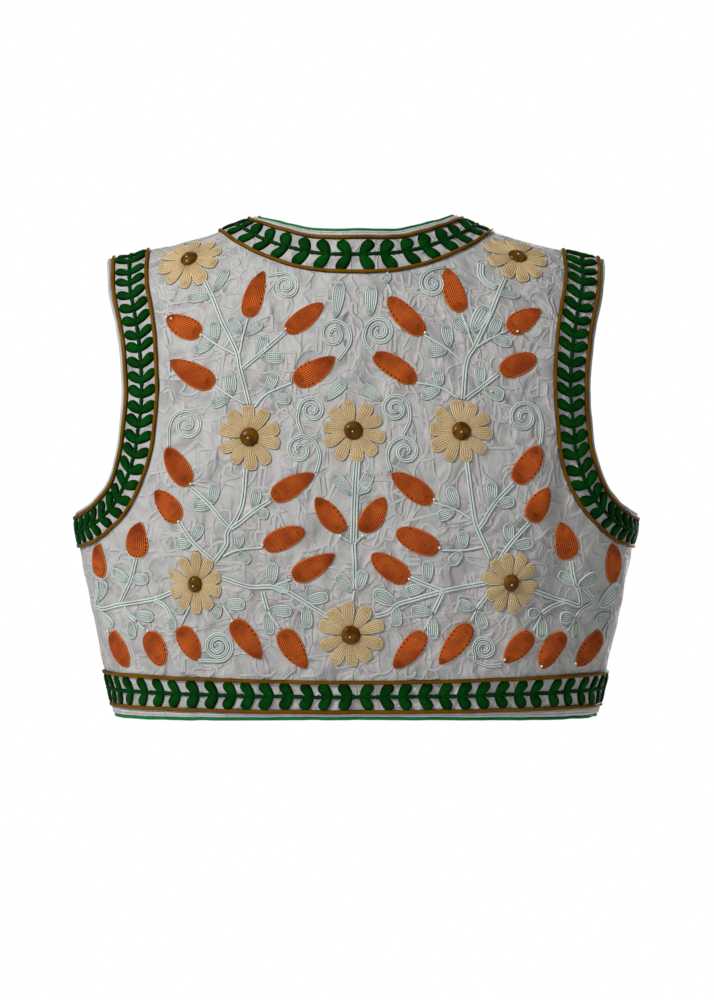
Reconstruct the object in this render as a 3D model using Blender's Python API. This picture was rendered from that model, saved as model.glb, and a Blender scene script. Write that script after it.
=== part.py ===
"""Embroidered waistcoat: a back and two fronts with piped, corded and leaf-worked borders.

Worked in millimetres and made in metres. +X is the wearer's right, +Y the wearer's
front and +Z up. The origin is midway between the neck ends of the shoulder seams.
All the panels lie on one general figure. Below the chest line its level sections
shrink towards the waist. Above it each half rises upright and rolls over to the
shoulder line. A place on the cloth is a spot, a pair of numbers: `around`, the way
round the chest section from the centre back (plus to the wearer's right), and
`rise`, the way up the cloth from the chest line.
"""

import math
from collections import namedtuple

import bmesh
import bpy
import numpy as np
from mathutils import Vector
from mathutils.geometry import delaunay_2d_cdt

METRE = 0.001

# Driving sizes of the garment, in millimetres.
CHEST_HALF_WIDTH = 215.5
CHEST_HALF_DEPTH = 107.0
CHEST_DROP = 235.0
WAIST_DROP = 385.5
WAIST_HALF_DEPTH = 88.0
SIDE_TAPER = 0.22
SIDE_TAPER_EASE = 12.0
SECTION_FLATNESS = 0.4
NECK_HALF_WIDTH = 74.0
NECK_BACK_DEPTH = 54.2
HEM_ARCH = 2.5
FRONT_EDGE_ACROSS = 0.6
WALL = 2.0
SEAM_GAP = 0.3
PIPING_DIAMETER = 2.4
CORD_DIAMETER = 2.9

# Sampling of the solids, in millimetres.
EDGE_STEP = 17.0
GRID_STEP = 25.0
GRID_CLEARANCE = 9.5
FOLD_CLEARANCE = 5.0
WALK_STEPS = 6
DENSE_COUNT = 260

# Places are given in a back elevation: the view from this far behind, at this drop.
ELEVATION_DISTANCE = 2800.0
ELEVATION_DROP = 194.0

# Heights of the padded work above the cloth, in millimetres.
LEAF_HEIGHT = 1.6
PETAL_HEIGHT = 1.6
BUTTON_FOOT_HEIGHT = 1.0
BUTTON_SHOULDER_HEIGHT = 3.0
BUTTON_TOP_HEIGHT = 4.0
BORDER_LEAF_HEIGHT = 1.2

PETALS = 10
TEARDROP_WIDTH = 17.5
NECK_LEAF_PITCH = 16.2
EDGE_LEAF_PITCH = 14.2
ARMHOLE_LEAF_PITCH = 11.9
FIRST_LEAF = 2.8
LAST_LEAF_ROOM = 13.5

ShoulderRow = namedtuple("ShoulderRow", "across drop")
SHOULDER_LINE = [
    ShoulderRow(-40, -13), ShoulderRow(0, -22), ShoulderRow(40, -13), ShoulderRow(74, 0),
    ShoulderRow(108, 14), ShoulderRow(160, 28), ShoulderRow(191, 34), ShoulderRow(230, 39),
]

EdgeRow = namedtuple("EdgeRow", "across drop")
ARMHOLE_EDGE = [
    EdgeRow(191, 34), EdgeRow(190.5, 46), EdgeRow(188, 65), EdgeRow(183, 86),
    EdgeRow(179.6, 104), EdgeRow(177.4, 127), EdgeRow(177, 145), EdgeRow(178, 160),
    EdgeRow(180.6, 181), EdgeRow(186.8, 201), EdgeRow(194, 213), EdgeRow(205.5, 223.6),
    EdgeRow(215.5, 229.5),
]
FRONT_OPENING_EDGE = [
    EdgeRow(74, 0), EdgeRow(71, 22), EdgeRow(60, 64), EdgeRow(44, 108), EdgeRow(26, 150),
    EdgeRow(9, 184), EdgeRow(1.2, 206), EdgeRow(0.6, 240), EdgeRow(0.6, 290),
    EdgeRow(0.6, 340), EdgeRow(1.5, 368.5), EdgeRow(6, 380.5), EdgeRow(18, 385.5),
    EdgeRow(50, 385.5), EdgeRow(100, 385.5), EdgeRow(150, 385.5),
]

# How far in from each edge its two couched cords lie, how much further they lie at the
# centre back or, on an armhole, at the shoulder, and how long that swell holds.
Border = namedtuple("Border", "outer_cord inner_cord outer_swell inner_swell hold")
NECK_BORDER = Border(8.6, 33.0, 0.7, 5.6, 1.0)
HEM_BORDER = Border(10.3, 35.5, -3.5, -6.0, 1.0)
ARMHOLE_BORDER = Border(4.6, 25.5, 0.4, 6.0, 5.0)
FRONT_BORDER = Border(10.3, 35.5, -2.0, -2.5, 1.0)

# Soft upright troughs, each from its head to its foot, on the back or the fronts.
Fold = namedtuple("Fold", "face across head_drop foot_drop lean half_width depth")
FOLDS = [
    Fold("back", 153, 168, 318, -3, 13, 5.0),
    Fold("back", -151, 250, 330, 5, 12, 2.0),
    Fold("back", 92, 292, 352, 4, 11, 2.2),
    Fold("back", -70, 176, 216, -4, 11, 1.6),
    Fold("front", 140, 190, 330, -6, 14, 4.5),
    Fold("front", -148, 175, 300, 5, 13, 4.0),
    Fold("front", 96, 280, 350, 4, 12, 2.5),
    Fold("front", -90, 262, 348, -3, 12, 2.5),
]

Flower = namedtuple("Flower", "name across drop diameter turn")
FLOWERS = [
    Flower("shoulder_left", -128, 35, 53, 6), Flower("shoulder_right", 124, 33, 50, -4),
    Flower("middle_left", -82, 171, 49.5, 3), Flower("middle", -2, 166, 49, 8),
    Flower("middle_right", 81, 166.5, 51, 12), Flower("side_left", -125, 284, 46, 0),
    Flower("side_right", 119, 283, 46, 10), Flower("lower", -4, 323, 50.5, 2),
]

Teardrop = namedtuple("Teardrop", "stem_across stem_drop tip_across tip_drop")
TEARDROPS = [
    Teardrop(-119, 92, -146, 78), Teardrop(-109, 131, -143, 112), Teardrop(-83, 79, -71, 43),
    Teardrop(-54, 90, -25, 68), Teardrop(-48, 129, -16, 109), Teardrop(-128, 208, -146, 179),
    Teardrop(-136, 236, -155, 212), Teardrop(-169, 264, -166, 236),
    Teardrop(-198, 279, -197, 253), Teardrop(-65, 218, -32, 199), Teardrop(-10, 246, -31, 215),
    Teardrop(-71, 256, -39, 243), Teardrop(-49, 279, -16, 261), Teardrop(-189, 321, -175, 348),
    Teardrop(-161, 321, -149, 347), Teardrop(-136, 317, -122, 343),
    Teardrop(-95, 312, -73, 342), Teardrop(-57, 319, -38, 349), Teardrop(52, 92, 25, 63),
    Teardrop(46, 129, 13, 107), Teardrop(81, 75, 70, 41), Teardrop(117, 89, 142, 73),
    Teardrop(111, 122, 139, 109), Teardrop(122, 206, 142, 178), Teardrop(134, 236, 149, 210),
    Teardrop(166, 266, 159, 236), Teardrop(199, 283, 197, 253), Teardrop(59, 221, 27, 199),
    Teardrop(5, 246, 22, 215), Teardrop(64, 258, 31, 243), Teardrop(41, 281, 12, 261),
    Teardrop(52, 321, 29, 349), Teardrop(88, 315, 64, 346), Teardrop(136, 322, 114, 345),
    Teardrop(161, 322, 142, 349), Teardrop(189, 322, 169, 347),
]

Finish = namedtuple("Finish", "colour roughness")
GROUND = Finish((0.43, 0.40, 0.41), 0.6)
PIPING_GREEN = Finish((0.01, 0.16, 0.05), 0.5)
CORD_BROWN = Finish((0.21, 0.09, 0.006), 0.55)


def measured_section(steps=1440):
    """The level section's half from centre back to centre front.

    Gives the share of the way round, the parts of the half width and the half depth
    reached there, and the half girth as a part of the half width.
    """
    share = np.linspace(0.0, 1.0, steps + 1)
    heading = np.pi * share - SECTION_FLATNESS * np.sin(2.0 * np.pi * share)
    middle = (heading[1:] + heading[:-1]) / 2.0
    across = np.concatenate([[0.0], np.cumsum(np.cos(middle))])
    along = np.concatenate([[0.0], np.cumsum(np.sin(middle))])
    girth_part = steps / across.max()
    return share, across / across.max(), 2.0 * along / along[-1] - 1.0, girth_part


SHARE, WIDTH_PART, DEPTH_PART, GIRTH_PART = measured_section()
HALF_GIRTH = CHEST_HALF_WIDTH * GIRTH_PART
SIDE = HALF_GIRTH / 2.0
RIDGE = 270.0


def table_value(rows, x):
    """A smooth curve through a table's rows of (x, value), read at x."""
    xs = np.array([row[0] for row in rows], float)
    ys = np.array([row[1] for row in rows], float)
    slopes = np.gradient(ys, xs)
    i = np.clip(np.searchsorted(xs, x, side="right") - 1, 0, len(xs) - 2)
    width = xs[i + 1] - xs[i]
    u = (x - xs[i]) / width
    rise = (2 * u**3 - 3 * u**2 + 1) * ys[i] + (3 * u**2 - 2 * u**3) * ys[i + 1]
    return rise + width * ((u**3 - 2 * u**2 + u) * slopes[i] + (u**3 - u**2) * slopes[i + 1])


def half_width(drop):
    """Half the garment's width at a level below the chest line."""
    below = np.maximum(drop - CHEST_DROP, 0.0)
    return CHEST_HALF_WIDTH - SIDE_TAPER * (np.hypot(below, SIDE_TAPER_EASE) - SIDE_TAPER_EASE)


def half_depth(drop):
    """Half the garment's depth at a level below the chest line."""
    part = np.maximum(drop - CHEST_DROP, 0.0) / (WAIST_DROP - CHEST_DROP)
    return CHEST_HALF_DEPTH - (CHEST_HALF_DEPTH - WAIST_HALF_DEPTH) * part**2


def figure(spots):
    """Points of the bare figure at an (n, 2) array of spots."""
    spots = np.atleast_2d(spots)
    share = np.clip(np.abs(spots[:, 0]) / HALF_GIRTH, 0.0, 1.0)
    width = np.interp(share, SHARE, WIDTH_PART)
    depth = np.interp(share, SHARE, DEPTH_PART)
    drop = CHEST_DROP - np.minimum(spots[:, 1], 0.0)
    turn = np.clip(spots[:, 1], 0.0, RIDGE * 1.02) / RIDGE * math.pi / 2.0
    across = width * half_width(np.minimum(drop, WAIST_DROP + 30.0))
    top = CHEST_DROP - table_value(SHOULDER_LINE, across)
    up = np.minimum(spots[:, 1], 0.0) - CHEST_DROP + top * np.sin(turn)
    forward = depth * half_depth(drop) * np.cos(turn)
    return np.stack([np.sign(spots[:, 0]) * across, forward, up], axis=1)


def slopes_at(spots, step=0.05):
    """How the figure's points move with `around` and with `rise`, and the outward normals."""
    spots = np.atleast_2d(spots).astype(float)
    held = spots.copy()
    held[:, 0] = np.where(np.abs(held[:, 0]) < step, step, held[:, 0])
    held[:, 1] = np.minimum(held[:, 1], RIDGE - step)
    by_around = (figure(held + [step, 0]) - figure(held - [step, 0])) / (2 * step)
    by_rise = (figure(held + [0, step]) - figure(held - [0, step])) / (2 * step)
    normal = np.cross(by_around, by_rise)
    return by_around, by_rise, normal / np.linalg.norm(normal, axis=1)[:, None]


def back_share(width_part):
    """The share of the half section, from the centre back, at a part of its half width."""
    middle = len(SHARE) // 2 + 1
    return np.interp(min(width_part, 1.0), WIDTH_PART[:middle], SHARE[:middle])


def spot_at(across, drop, face):
    """The spot of the cloth at a distance across and a drop, on the back or a front."""
    if drop > CHEST_DROP:
        part = abs(across) / half_width(drop)
        rise = CHEST_DROP - drop
    else:
        part = abs(across) / CHEST_HALF_WIDTH
        top = CHEST_DROP - table_value(SHOULDER_LINE, abs(across))
        rise = math.asin(min((CHEST_DROP - drop) / top, 1.0)) * RIDGE / (math.pi / 2.0)
    share = back_share(part)
    if face == "front":
        share = 1.0 - share
    return np.array([math.copysign(share * HALF_GIRTH, across), rise])


def back_spot(across, drop):
    """The back's spot that an elevation shows at a distance across and a drop."""
    nearness = 1.0
    for _ in range(5):
        seen_drop = ELEVATION_DROP + (drop - ELEVATION_DROP) * nearness
        spot = spot_at(across * nearness, seen_drop, "back")
        nearness = 1.0 + figure(spot)[0, 1] / ELEVATION_DISTANCE
    return spot


def fold_depth(spots):
    """How far the soft troughs sink the cloth at each spot."""
    total = np.zeros(len(spots))
    for fold in FOLDS:
        head = spot_at(fold.across, fold.head_drop, fold.face)
        foot = spot_at(fold.across + fold.lean, fold.foot_drop, fold.face)
        part = (spots[:, 1] - foot[1]) / (head[1] - foot[1])
        line = foot[0] + (head[0] - foot[0]) * part
        along = np.clip(4.0 * part * (1.0 - part), 0.0, 1.0) ** 0.8
        total += fold.depth * along * np.exp(-((spots[:, 0] - line) / fold.half_width) ** 2)
    return total


def cloth(spots, out=0.0):
    """Points `out` millimetres proud of the cloth's outer skin at an array of spots."""
    spots = np.atleast_2d(spots)
    normal = slopes_at(spots)[2]
    proud = np.asarray(out, float) - fold_depth(spots)
    return figure(spots) + normal * (proud * np.ones(len(spots)))[:, None]


def tangent_shift(spots, direction):
    """The shift of each spot that moves its point one millimetre towards a direction."""
    by_around, by_rise, _ = slopes_at(spots)
    aa = (by_around * by_around).sum(1)
    ab = (by_around * by_rise).sum(1)
    bb = (by_rise * by_rise).sum(1)
    pa = (direction * by_around).sum(1)
    pb = (direction * by_rise).sum(1)
    shift = np.stack([bb * pa - ab * pb, aa * pb - ab * pa], axis=1)
    shift /= (aa * bb - ab * ab)[:, None]
    moved = shift[:, :1] * by_around + shift[:, 1:] * by_rise
    length = np.linalg.norm(moved, axis=1)[:, None]
    return shift / length, moved / length


def walk(spots, direction, distance):
    """Spots reached by walking over the cloth from each spot towards a direction."""
    spots = np.array(spots, float)
    for _ in range(WALK_STEPS):
        shift, direction = tangent_shift(spots, direction)
        spots = spots + shift * (distance / WALK_STEPS)[:, None]
    return spots


def spline(points, first=None, last=None, count=DENSE_COUNT):
    """A Catmull-Rom curve of spots through points, with optional ghost ends."""
    points = [np.asarray(point, float) for point in points]
    first = 2 * points[0] - points[1] if first is None else first
    last = 2 * points[-1] - points[-2] if last is None else last
    knots = np.array([first] + points + [last])
    place = np.linspace(0, len(points) - 1, count)
    i = np.minimum(place.astype(int), len(points) - 2)
    u = (place - i)[:, None]
    a, b, c, d = knots[i], knots[i + 1], knots[i + 2], knots[i + 3]
    return 0.5 * (2 * b + (c - a) * u + (2 * a - 5 * b + 4 * c - d) * u**2
                  + (3 * b - a - 3 * c + d) * u**3)


def length_along(spots):
    """The distance along the cloth from the first spot to each one."""
    points = cloth(spots)
    steps = np.linalg.norm(np.diff(points, axis=0), axis=1)
    return np.concatenate([[0.0], np.cumsum(steps)])


def resampled(spots, step=EDGE_STEP):
    """The same curve with evenly spaced spots about a step apart."""
    way = length_along(spots)
    count = max(int(round(way[-1] / step)), 1)
    place = np.linspace(0.0, way[-1], count + 1)
    return np.stack([np.interp(place, way, spots[:, i]) for i in (0, 1)], axis=1)


def swelled(share, hold):
    """How much of a border's swell is left at each share of its run, from all to none."""
    return np.cos(share**hold * math.pi / 2.0) ** 2


def inset(run, distance, swell):
    """The curve that lies a distance in from a run's edge, with its swallowtails cut off."""
    edge, side = run.edge, run.side
    way = length_along(edge)
    amount = distance + swell * swelled(way / way[-1], run.border.hold)
    points = cloth(edge)
    tangent = np.gradient(points, axis=0)
    inward = side * np.cross(slopes_at(edge)[2], tangent)
    moved = walk(edge, inward, amount)
    reached = cloth(moved)
    gap = np.linalg.norm(reached[:, None, :] - points[None, :, :], axis=2).min(axis=1)
    return moved[gap > 0.95 * np.abs(amount)]


def shoulder_rise(around):
    """The rise of the shoulder seam's edge, half a seam gap short of the ridge."""
    share = np.abs(around) / HALF_GIRTH
    depth = np.abs(np.interp(share, SHARE, DEPTH_PART)) * CHEST_HALF_DEPTH
    return RIDGE - SEAM_GAP / 2.0 / (depth * math.pi / 2.0 / RIDGE)


def snapped(curve, first, last):
    """A curve whose ends sit exactly on their seams: centre, shoulder, side or none."""
    curve = curve.copy()
    for index, seam in ((0, first), (-1, last)):
        if seam == "centre":
            curve[index, 0] = 0.0
        elif seam == "shoulder":
            curve[index, 1] = shoulder_rise(curve[index, 0])
        elif seam == "side_back":
            curve[index, 0] = SIDE - SEAM_GAP / 2.0
        elif seam == "side_front":
            curve[index, 0] = SIDE + SEAM_GAP / 2.0
    return curve


Run = namedtuple("Run", "edge border first last side")


def neck_back_run():
    """The back neck from the centre back to the right shoulder, half an ellipse in plan."""
    spots = []
    for angle in np.linspace(math.pi / 2.0, 0.0, DENSE_COUNT // 2):
        across = NECK_HALF_WIDTH * math.cos(angle)
        share = back_share(across / CHEST_HALF_WIDTH)
        depth = -np.interp(share, SHARE, DEPTH_PART) * CHEST_HALF_DEPTH
        turn = math.acos(NECK_BACK_DEPTH * math.sin(angle) / depth)
        spots.append([share * HALF_GIRTH, turn * RIDGE / (math.pi / 2.0)])
    return Run(np.array(spots), NECK_BORDER, "centre", "shoulder", -1)


def armhole_run(face):
    """An armhole edge from the right shoulder down to the side seam."""
    knots = [spot_at(row.across, row.drop, face) for row in ARMHOLE_EDGE]
    knots[0][1] = RIDGE
    over = np.array([knots[1][0], 2 * RIDGE - knots[1][1]])
    past = np.array([2 * SIDE - knots[-2][0], knots[-2][1]])
    side = 1 if face == "front" else -1
    return Run(spline(knots, over, past), ARMHOLE_BORDER, "shoulder", "side_" + face, side)


def hem_back_run():
    """The back hem from the centre back to the right side seam."""
    around = np.linspace(0.0, SIDE, DENSE_COUNT)
    arch = HEM_ARCH * np.cos(around / SIDE * math.pi / 2.0) ** 2
    rise = CHEST_DROP - WAIST_DROP + arch
    return Run(np.stack([around, rise], axis=1), HEM_BORDER, "centre", "side_back", 1)


def front_opening_run():
    """The right front's free edge: neck, front edge, corner and hem to the side seam."""
    knots = [spot_at(row.across, row.drop, "front") for row in FRONT_OPENING_EDGE]
    knots[0][1] = RIDGE
    knots.append(np.array([SIDE, CHEST_DROP - WAIST_DROP]))
    over = np.array([knots[1][0], 2 * RIDGE - knots[1][1]])
    edge = spline(knots, over, count=3 * DENSE_COUNT)
    return Run(edge, FRONT_BORDER, "shoulder", "side_front", -1)


def parallel(run, distance, swell=0.0):
    """A run's curve a distance in from its edge, evenly sampled, its ends on the seams."""
    curve = inset(run, distance, swell)
    return snapped(resampled(snapped(curve, run.first, run.last)), run.first, run.last)


def panel_rim(run):
    """The edge of the panel itself, which stops short of the piping."""
    return parallel(run, PIPING_DIAMETER + SEAM_GAP)


def outer_cord(run):
    """The line under the couched cord next to the edge."""
    return parallel(run, run.border.outer_cord, run.border.outer_swell)


def inner_cord(run):
    """The line under the couched cord that closes the leaf border."""
    return parallel(run, run.border.inner_cord, run.border.inner_swell)


def vine_line(run):
    """The middle of the leaf border and the half width that is free for its leaves."""
    border = run.border
    middle = (border.outer_cord + border.inner_cord) / 2.0
    swell = (border.outer_swell + border.inner_swell) / 2.0
    curve = snapped(inset(run, middle, swell), run.first, run.last)
    share = np.linspace(0.0, 1.0, len(curve))
    gap = border.inner_cord - border.outer_cord
    gap = gap + (border.inner_swell - border.outer_swell) * swelled(share, border.hold)
    return curve, gap / 2.0


def mirrored(curve):
    """The same curve on the other side of the garment."""
    return curve * [-1.0, 1.0]


def joined(curves):
    """One list of spots from curves that follow each other, without doubled ends."""
    spots = []
    for curve in curves:
        for spot in curve:
            if not spots or np.abs(np.asarray(spots[-1]) - spot).max() > 1e-4:
                spots.append(spot)
    if np.abs(np.asarray(spots[0]) - spots[-1]).max() < 1e-4:
        spots.pop()
    return np.array(spots)


def seam_curve(stops, on_shoulder):
    """A seam edge through its stops, with more spots where they are far apart."""
    spots = [stops[0]]
    for start, end in zip(stops[:-1], stops[1:]):
        way = np.linalg.norm(cloth(end) - cloth(start))
        parts = max(int(round(way / EDGE_STEP)), 1)
        spots += [start + (end - start) * (i / parts) for i in range(1, parts + 1)]
    curve = np.array(spots)
    if on_shoulder:
        curve[:, 1] = shoulder_rise(curve[:, 0])
    return curve


# A line worked into a panel's outer skin: its spots, their height and if it closes.
Line = namedtuple("Line", "spots height closed")


def local_place(spot, heading):
    """A function that turns (along, left) millimetres at a spot into spots of the cloth."""
    spot = np.atleast_2d(spot)
    normal = slopes_at(spot)[2]
    forward, level = tangent_shift(spot, np.atleast_2d(heading))
    left, _ = tangent_shift(spot, np.cross(normal, level))

    def place(offsets):
        offsets = np.asarray(offsets, float)
        return spot + offsets[:, :1] * forward + offsets[:, 1:] * left

    return place


BORDER_LEAF_BASE = [(-1.0, 0.0), (4.0, -0.82), (11.0, -0.76), (6.5, 0.0), (11.0, 0.76), (4.0, 0.82)]
BORDER_LEAF_CROWNS = [(6.6, -0.52), (6.6, 0.52)]


def border_leaf_lines(spot, heading, half_gap, scale):
    """A pair of padded border leaves that open from their stem towards a heading."""
    spread = half_gap - CORD_DIAMETER / 2.0 - 0.7
    place = local_place(spot, heading)
    base = place([(along * scale, part * spread) for along, part in BORDER_LEAF_BASE])
    crowns = place([(along * scale, part * spread) for along, part in BORDER_LEAF_CROWNS])
    return [Line(base, 0.0, True)] + [Line(crowns[i:i + 1], BORDER_LEAF_HEIGHT, False)
                                      for i in range(len(crowns))]


def border_leaves(curve, half_gap, pitch, forward):
    """Leaf pairs at an even pitch along a vine, opening forward or backward along it."""
    if not forward:
        curve, half_gap = curve[::-1], half_gap[::-1]
    way = length_along(curve)
    points = cloth(curve)
    scale = min(pitch / EDGE_LEAF_PITCH, 1.0)
    last = way[-1] - LAST_LEAF_ROOM * scale
    count = max(int(round((last - FIRST_LEAF) / pitch)), 1) + 1
    lines = []
    for place in np.linspace(FIRST_LEAF, last, count):
        i = int(np.searchsorted(way, place))
        ahead = min(i + 3, len(points) - 1)
        heading = points[ahead] - points[max(i - 3, 0)]
        lines += border_leaf_lines(curve[i], heading, half_gap[i], scale)
    return lines


def run_leaves(run, pitch, forward):
    """The leaf pairs of a whole run."""
    curve, half_gap = vine_line(run)
    return border_leaves(curve, half_gap, pitch, forward)


def front_leaves(run):
    """The front's leaf pairs, which grow to its lower corner from the neck and the side."""
    curve, half_gap = vine_line(run)
    corner = int(np.argmax(curve[:, 0] - curve[:, 1]))
    down = border_leaves(curve[:corner], half_gap[:corner], EDGE_LEAF_PITCH, True)
    return down + border_leaves(curve[corner:], half_gap[corner:], EDGE_LEAF_PITCH, False)


TEARDROP_SIDE = [(0.0, 0.42), (0.14, 0.84), (0.38, 1.0), (0.66, 0.80), (0.88, 0.36)]
TEARDROP_RIDGE = [0.16, 0.45, 0.78]


def teardrop_lines(leaf):
    """A padded teardrop leaf, round at its stem and pointed at its tip."""
    stem = back_spot(leaf.stem_across, leaf.stem_drop)
    tip = back_spot(leaf.tip_across, leaf.tip_drop)
    reach = cloth(tip)[0] - cloth(stem)[0]
    length = np.linalg.norm(reach)
    place = local_place((stem + tip) / 2.0, reach)
    half = TEARDROP_WIDTH / 2.0
    left = [((part - 0.5) * length, width * half) for part, width in TEARDROP_SIDE]
    right = [(along, -width) for along, width in reversed(left)]
    ridge = [((part - 0.5) * length, 0.0) for part in TEARDROP_RIDGE]
    return [Line(place(left + [(length / 2.0, 0.0)] + right), 0.0, True),
            Line(place(ridge), LEAF_HEIGHT, False)]


def ring(place, radius, count, height, start=0.0, squeeze=1.0):
    """A closed ring of spots round a motif's middle."""
    angles = [start + 2.0 * math.pi * i / count for i in range(count)]
    offsets = [(radius * math.cos(a), radius * squeeze * math.sin(a)) for a in angles]
    return Line(place(offsets), height, True)


def flower_lines(flower):
    """A padded flower: a scalloped ring of petals round a domed button."""
    middle = back_spot(flower.across, flower.drop)
    place = local_place(middle, (0.0, 0.0, 1.0))
    radius = flower.diameter / 2.0
    petal = 2.0 * math.pi / PETALS
    start = math.radians(flower.turn)
    scallop = []
    crowns = []
    for i in range(PETALS):
        angle = start + i * petal
        for turn, part in ((-0.5, 0.62), (-0.27, 0.96), (0.27, 0.96)):
            reach = radius * part
            there = angle + turn * petal
            scallop.append((reach * math.cos(there), reach * math.sin(there)))
        crowns.append((radius * 0.76 * math.cos(angle), radius * 0.76 * math.sin(angle)))
    lines = [Line(place(scallop), 0.0, True)]
    crown_spots = place(crowns)
    lines += [Line(crown_spots[i:i + 1], PETAL_HEIGHT, False) for i in range(PETALS)]
    lines.append(ring(place, radius * 0.33, 8, BUTTON_FOOT_HEIGHT))
    lines.append(ring(place, radius * 0.25, 8, BUTTON_SHOULDER_HEIGHT, petal / 2.0))
    lines.append(Line(place([(0.0, 0.0)]), BUTTON_TOP_HEIGHT, False))
    for line in lines:
        line.spots[:, 1] = np.minimum(line.spots[:, 1], shoulder_rise(line.spots[:, 0]) - 2.0)
    return lines


def fold_lines(face):
    """Rows of single spots along one face's soft troughs, so that the skins follow them."""
    lines = []
    for fold in FOLDS:
        if fold.face != face:
            continue
        head = spot_at(fold.across, fold.head_drop, fold.face)
        foot = spot_at(fold.across + fold.lean, fold.foot_drop, fold.face)
        for part in np.linspace(0.08, 0.92, 7):
            middle = foot + (head - foot) * part
            for aside in (-1.3, 0.0, 1.3):
                spot = middle + [aside * fold.half_width, 0.0]
                lines.append(Line(spot[None, :], 0.0, False))
    return lines


def clear_of(lines, single, clearance=FOLD_CLEARANCE):
    """The single spots of some lines that keep clear of other lines' spots and loops."""
    taken = np.concatenate([line.spots for line in lines])
    kept = []
    for line in single:
        gap = np.linalg.norm(taken - line.spots[0], axis=1).min()
        covered = any(pad.closed and inside(pad.spots, line.spots)[0] for pad in lines)
        if gap > clearance and not covered:
            kept.append(line)
    return kept


def inside(loop, spots):
    """Which spots lie inside a closed loop."""
    x, y = spots[:, 0], spots[:, 1]
    hit = np.zeros(len(spots), bool)
    for (ax, ay), (bx, by) in zip(loop, np.roll(loop, -1, axis=0)):
        if ay == by:
            continue
        crosses = (ay > y) != (by > y)
        hit ^= crosses & (x < ax + (y - ay) * (bx - ax) / (by - ay))
    return hit


def field(boundary, lines):
    """Grid spots inside a panel that keep clear of its boundary and its worked lines."""
    low, high = boundary.min(axis=0), boundary.max(axis=0)
    columns = np.arange(low[0] + GRID_STEP / 2.0, high[0], GRID_STEP)
    rows = np.arange(low[1] + GRID_STEP / 2.0, high[1], GRID_STEP)
    spots = []
    for i, row in enumerate(rows):
        spots += [(column + (i % 2) * GRID_STEP / 2.0, row) for column in columns]
    spots = np.array(spots)
    spots = spots[inside(boundary, spots)]
    taken = np.concatenate([boundary] + [line.spots for line in lines])
    gap = np.linalg.norm(spots[:, None, :] - taken[None, :, :], axis=2).min(axis=1)
    spots = spots[gap > GRID_CLEARANCE]
    for line in lines:
        if line.closed:
            spots = spots[~inside(line.spots, spots)]
    return spots


def skin(boundary, lines):
    """A triangulated skin over a boundary and its lines: spots, heights, faces, rim."""
    spots = [Vector(spot) for spot in boundary]
    heights = [0.0] * len(spots)
    edges = [(i, (i + 1) % len(spots)) for i in range(len(spots))]
    for line in lines:
        first = len(spots)
        spots += [Vector(spot) for spot in line.spots]
        heights += [line.height] * len(line.spots)
        edges += [(i, i + 1) for i in range(first, len(spots) - 1)]
        if line.closed:
            edges.append((len(spots) - 1, first))
    for spot in field(boundary, lines):
        spots.append(Vector(spot))
        heights.append(0.0)
    found, _, faces, sources, _, _ = delaunay_2d_cdt(spots, edges, [], 1, 1e-4)
    height = [max([heights[i] for i in source], default=0.0) for source in sources]
    place = {i: k for k, source in enumerate(sources) for i in source}
    rim = [place[i] for i in range(len(boundary))]
    return np.array([tuple(spot) for spot in found]), np.array(height), faces, rim


def own_material(name, finish):
    """A plain material with the piece's colour and roughness."""
    material = bpy.data.materials.new(name)
    material.use_nodes = True
    shader = material.node_tree.nodes["Principled BSDF"]
    shader.inputs["Base Color"].default_value = (*finish.colour, 1.0)
    shader.inputs["Roughness"].default_value = finish.roughness
    shader.inputs["Metallic"].default_value = 0.0
    return material


def panel(name, boundary, lines, plain_lines):
    """A panel of cloth: a worked outer skin, a plain inner skin and the rim between them."""
    outer, heights, outer_faces, outer_rim = skin(boundary, lines)
    inner, _, inner_faces, inner_rim = skin(boundary, plain_lines)
    bm = bmesh.new()
    over = [bm.verts.new(point * METRE) for point in cloth(outer, heights)]
    under = [bm.verts.new(point * METRE) for point in cloth(inner, -WALL)]
    for face in outer_faces:
        bm.faces.new([over[i] for i in face])
    for face in inner_faces:
        bm.faces.new([under[i] for i in reversed(face)])
    for i in range(len(boundary)):
        j = (i + 1) % len(boundary)
        bm.faces.new([over[outer_rim[j]], over[outer_rim[i]], under[inner_rim[i]], under[inner_rim[j]]])
    loose = [vert for vert in bm.verts if not vert.link_faces]
    bmesh.ops.delete(bm, geom=loose, context="VERTS")
    bmesh.ops.recalc_face_normals(bm, faces=bm.faces)
    mesh = bpy.data.meshes.new(name)
    bm.to_mesh(mesh)
    bm.free()
    mesh.shade_smooth()
    mesh.materials.append(own_material(name, GROUND))
    piece = bpy.data.objects.new(name, mesh)
    bpy.context.scene.collection.objects.link(piece)
    return piece


def closed_cord(name, points, diameter, finish):
    """A cord or piping laid in a closed loop through points."""
    curve = bpy.data.curves.new(name, "CURVE")
    curve.dimensions = "3D"
    curve.bevel_depth = diameter / 2.0 * METRE
    curve.bevel_resolution = 0
    curve.resolution_u = 1
    curve.render_resolution_u = 0
    spline_points = curve.splines.new("POLY")
    spline_points.points.add(len(points) - 1)
    for target, point in zip(spline_points.points, points):
        target.co = (*(point * METRE), 1.0)
    spline_points.use_cyclic_u = True
    curve.materials.append(own_material(name, finish))
    piece = bpy.data.objects.new(name, curve)
    bpy.context.scene.collection.objects.link(piece)
    return piece


def loop_points(stretches):
    """One closed loop of points from stretches whose ends meet at the seams."""
    points = []
    for stretch in stretches:
        if points:
            points[-1] = (points[-1] + stretch[0]) / 2.0
            points += list(stretch[1:])
        else:
            points = list(stretch)
    last = points.pop()
    points[0] = (points[0] + last) / 2.0
    return points


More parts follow.
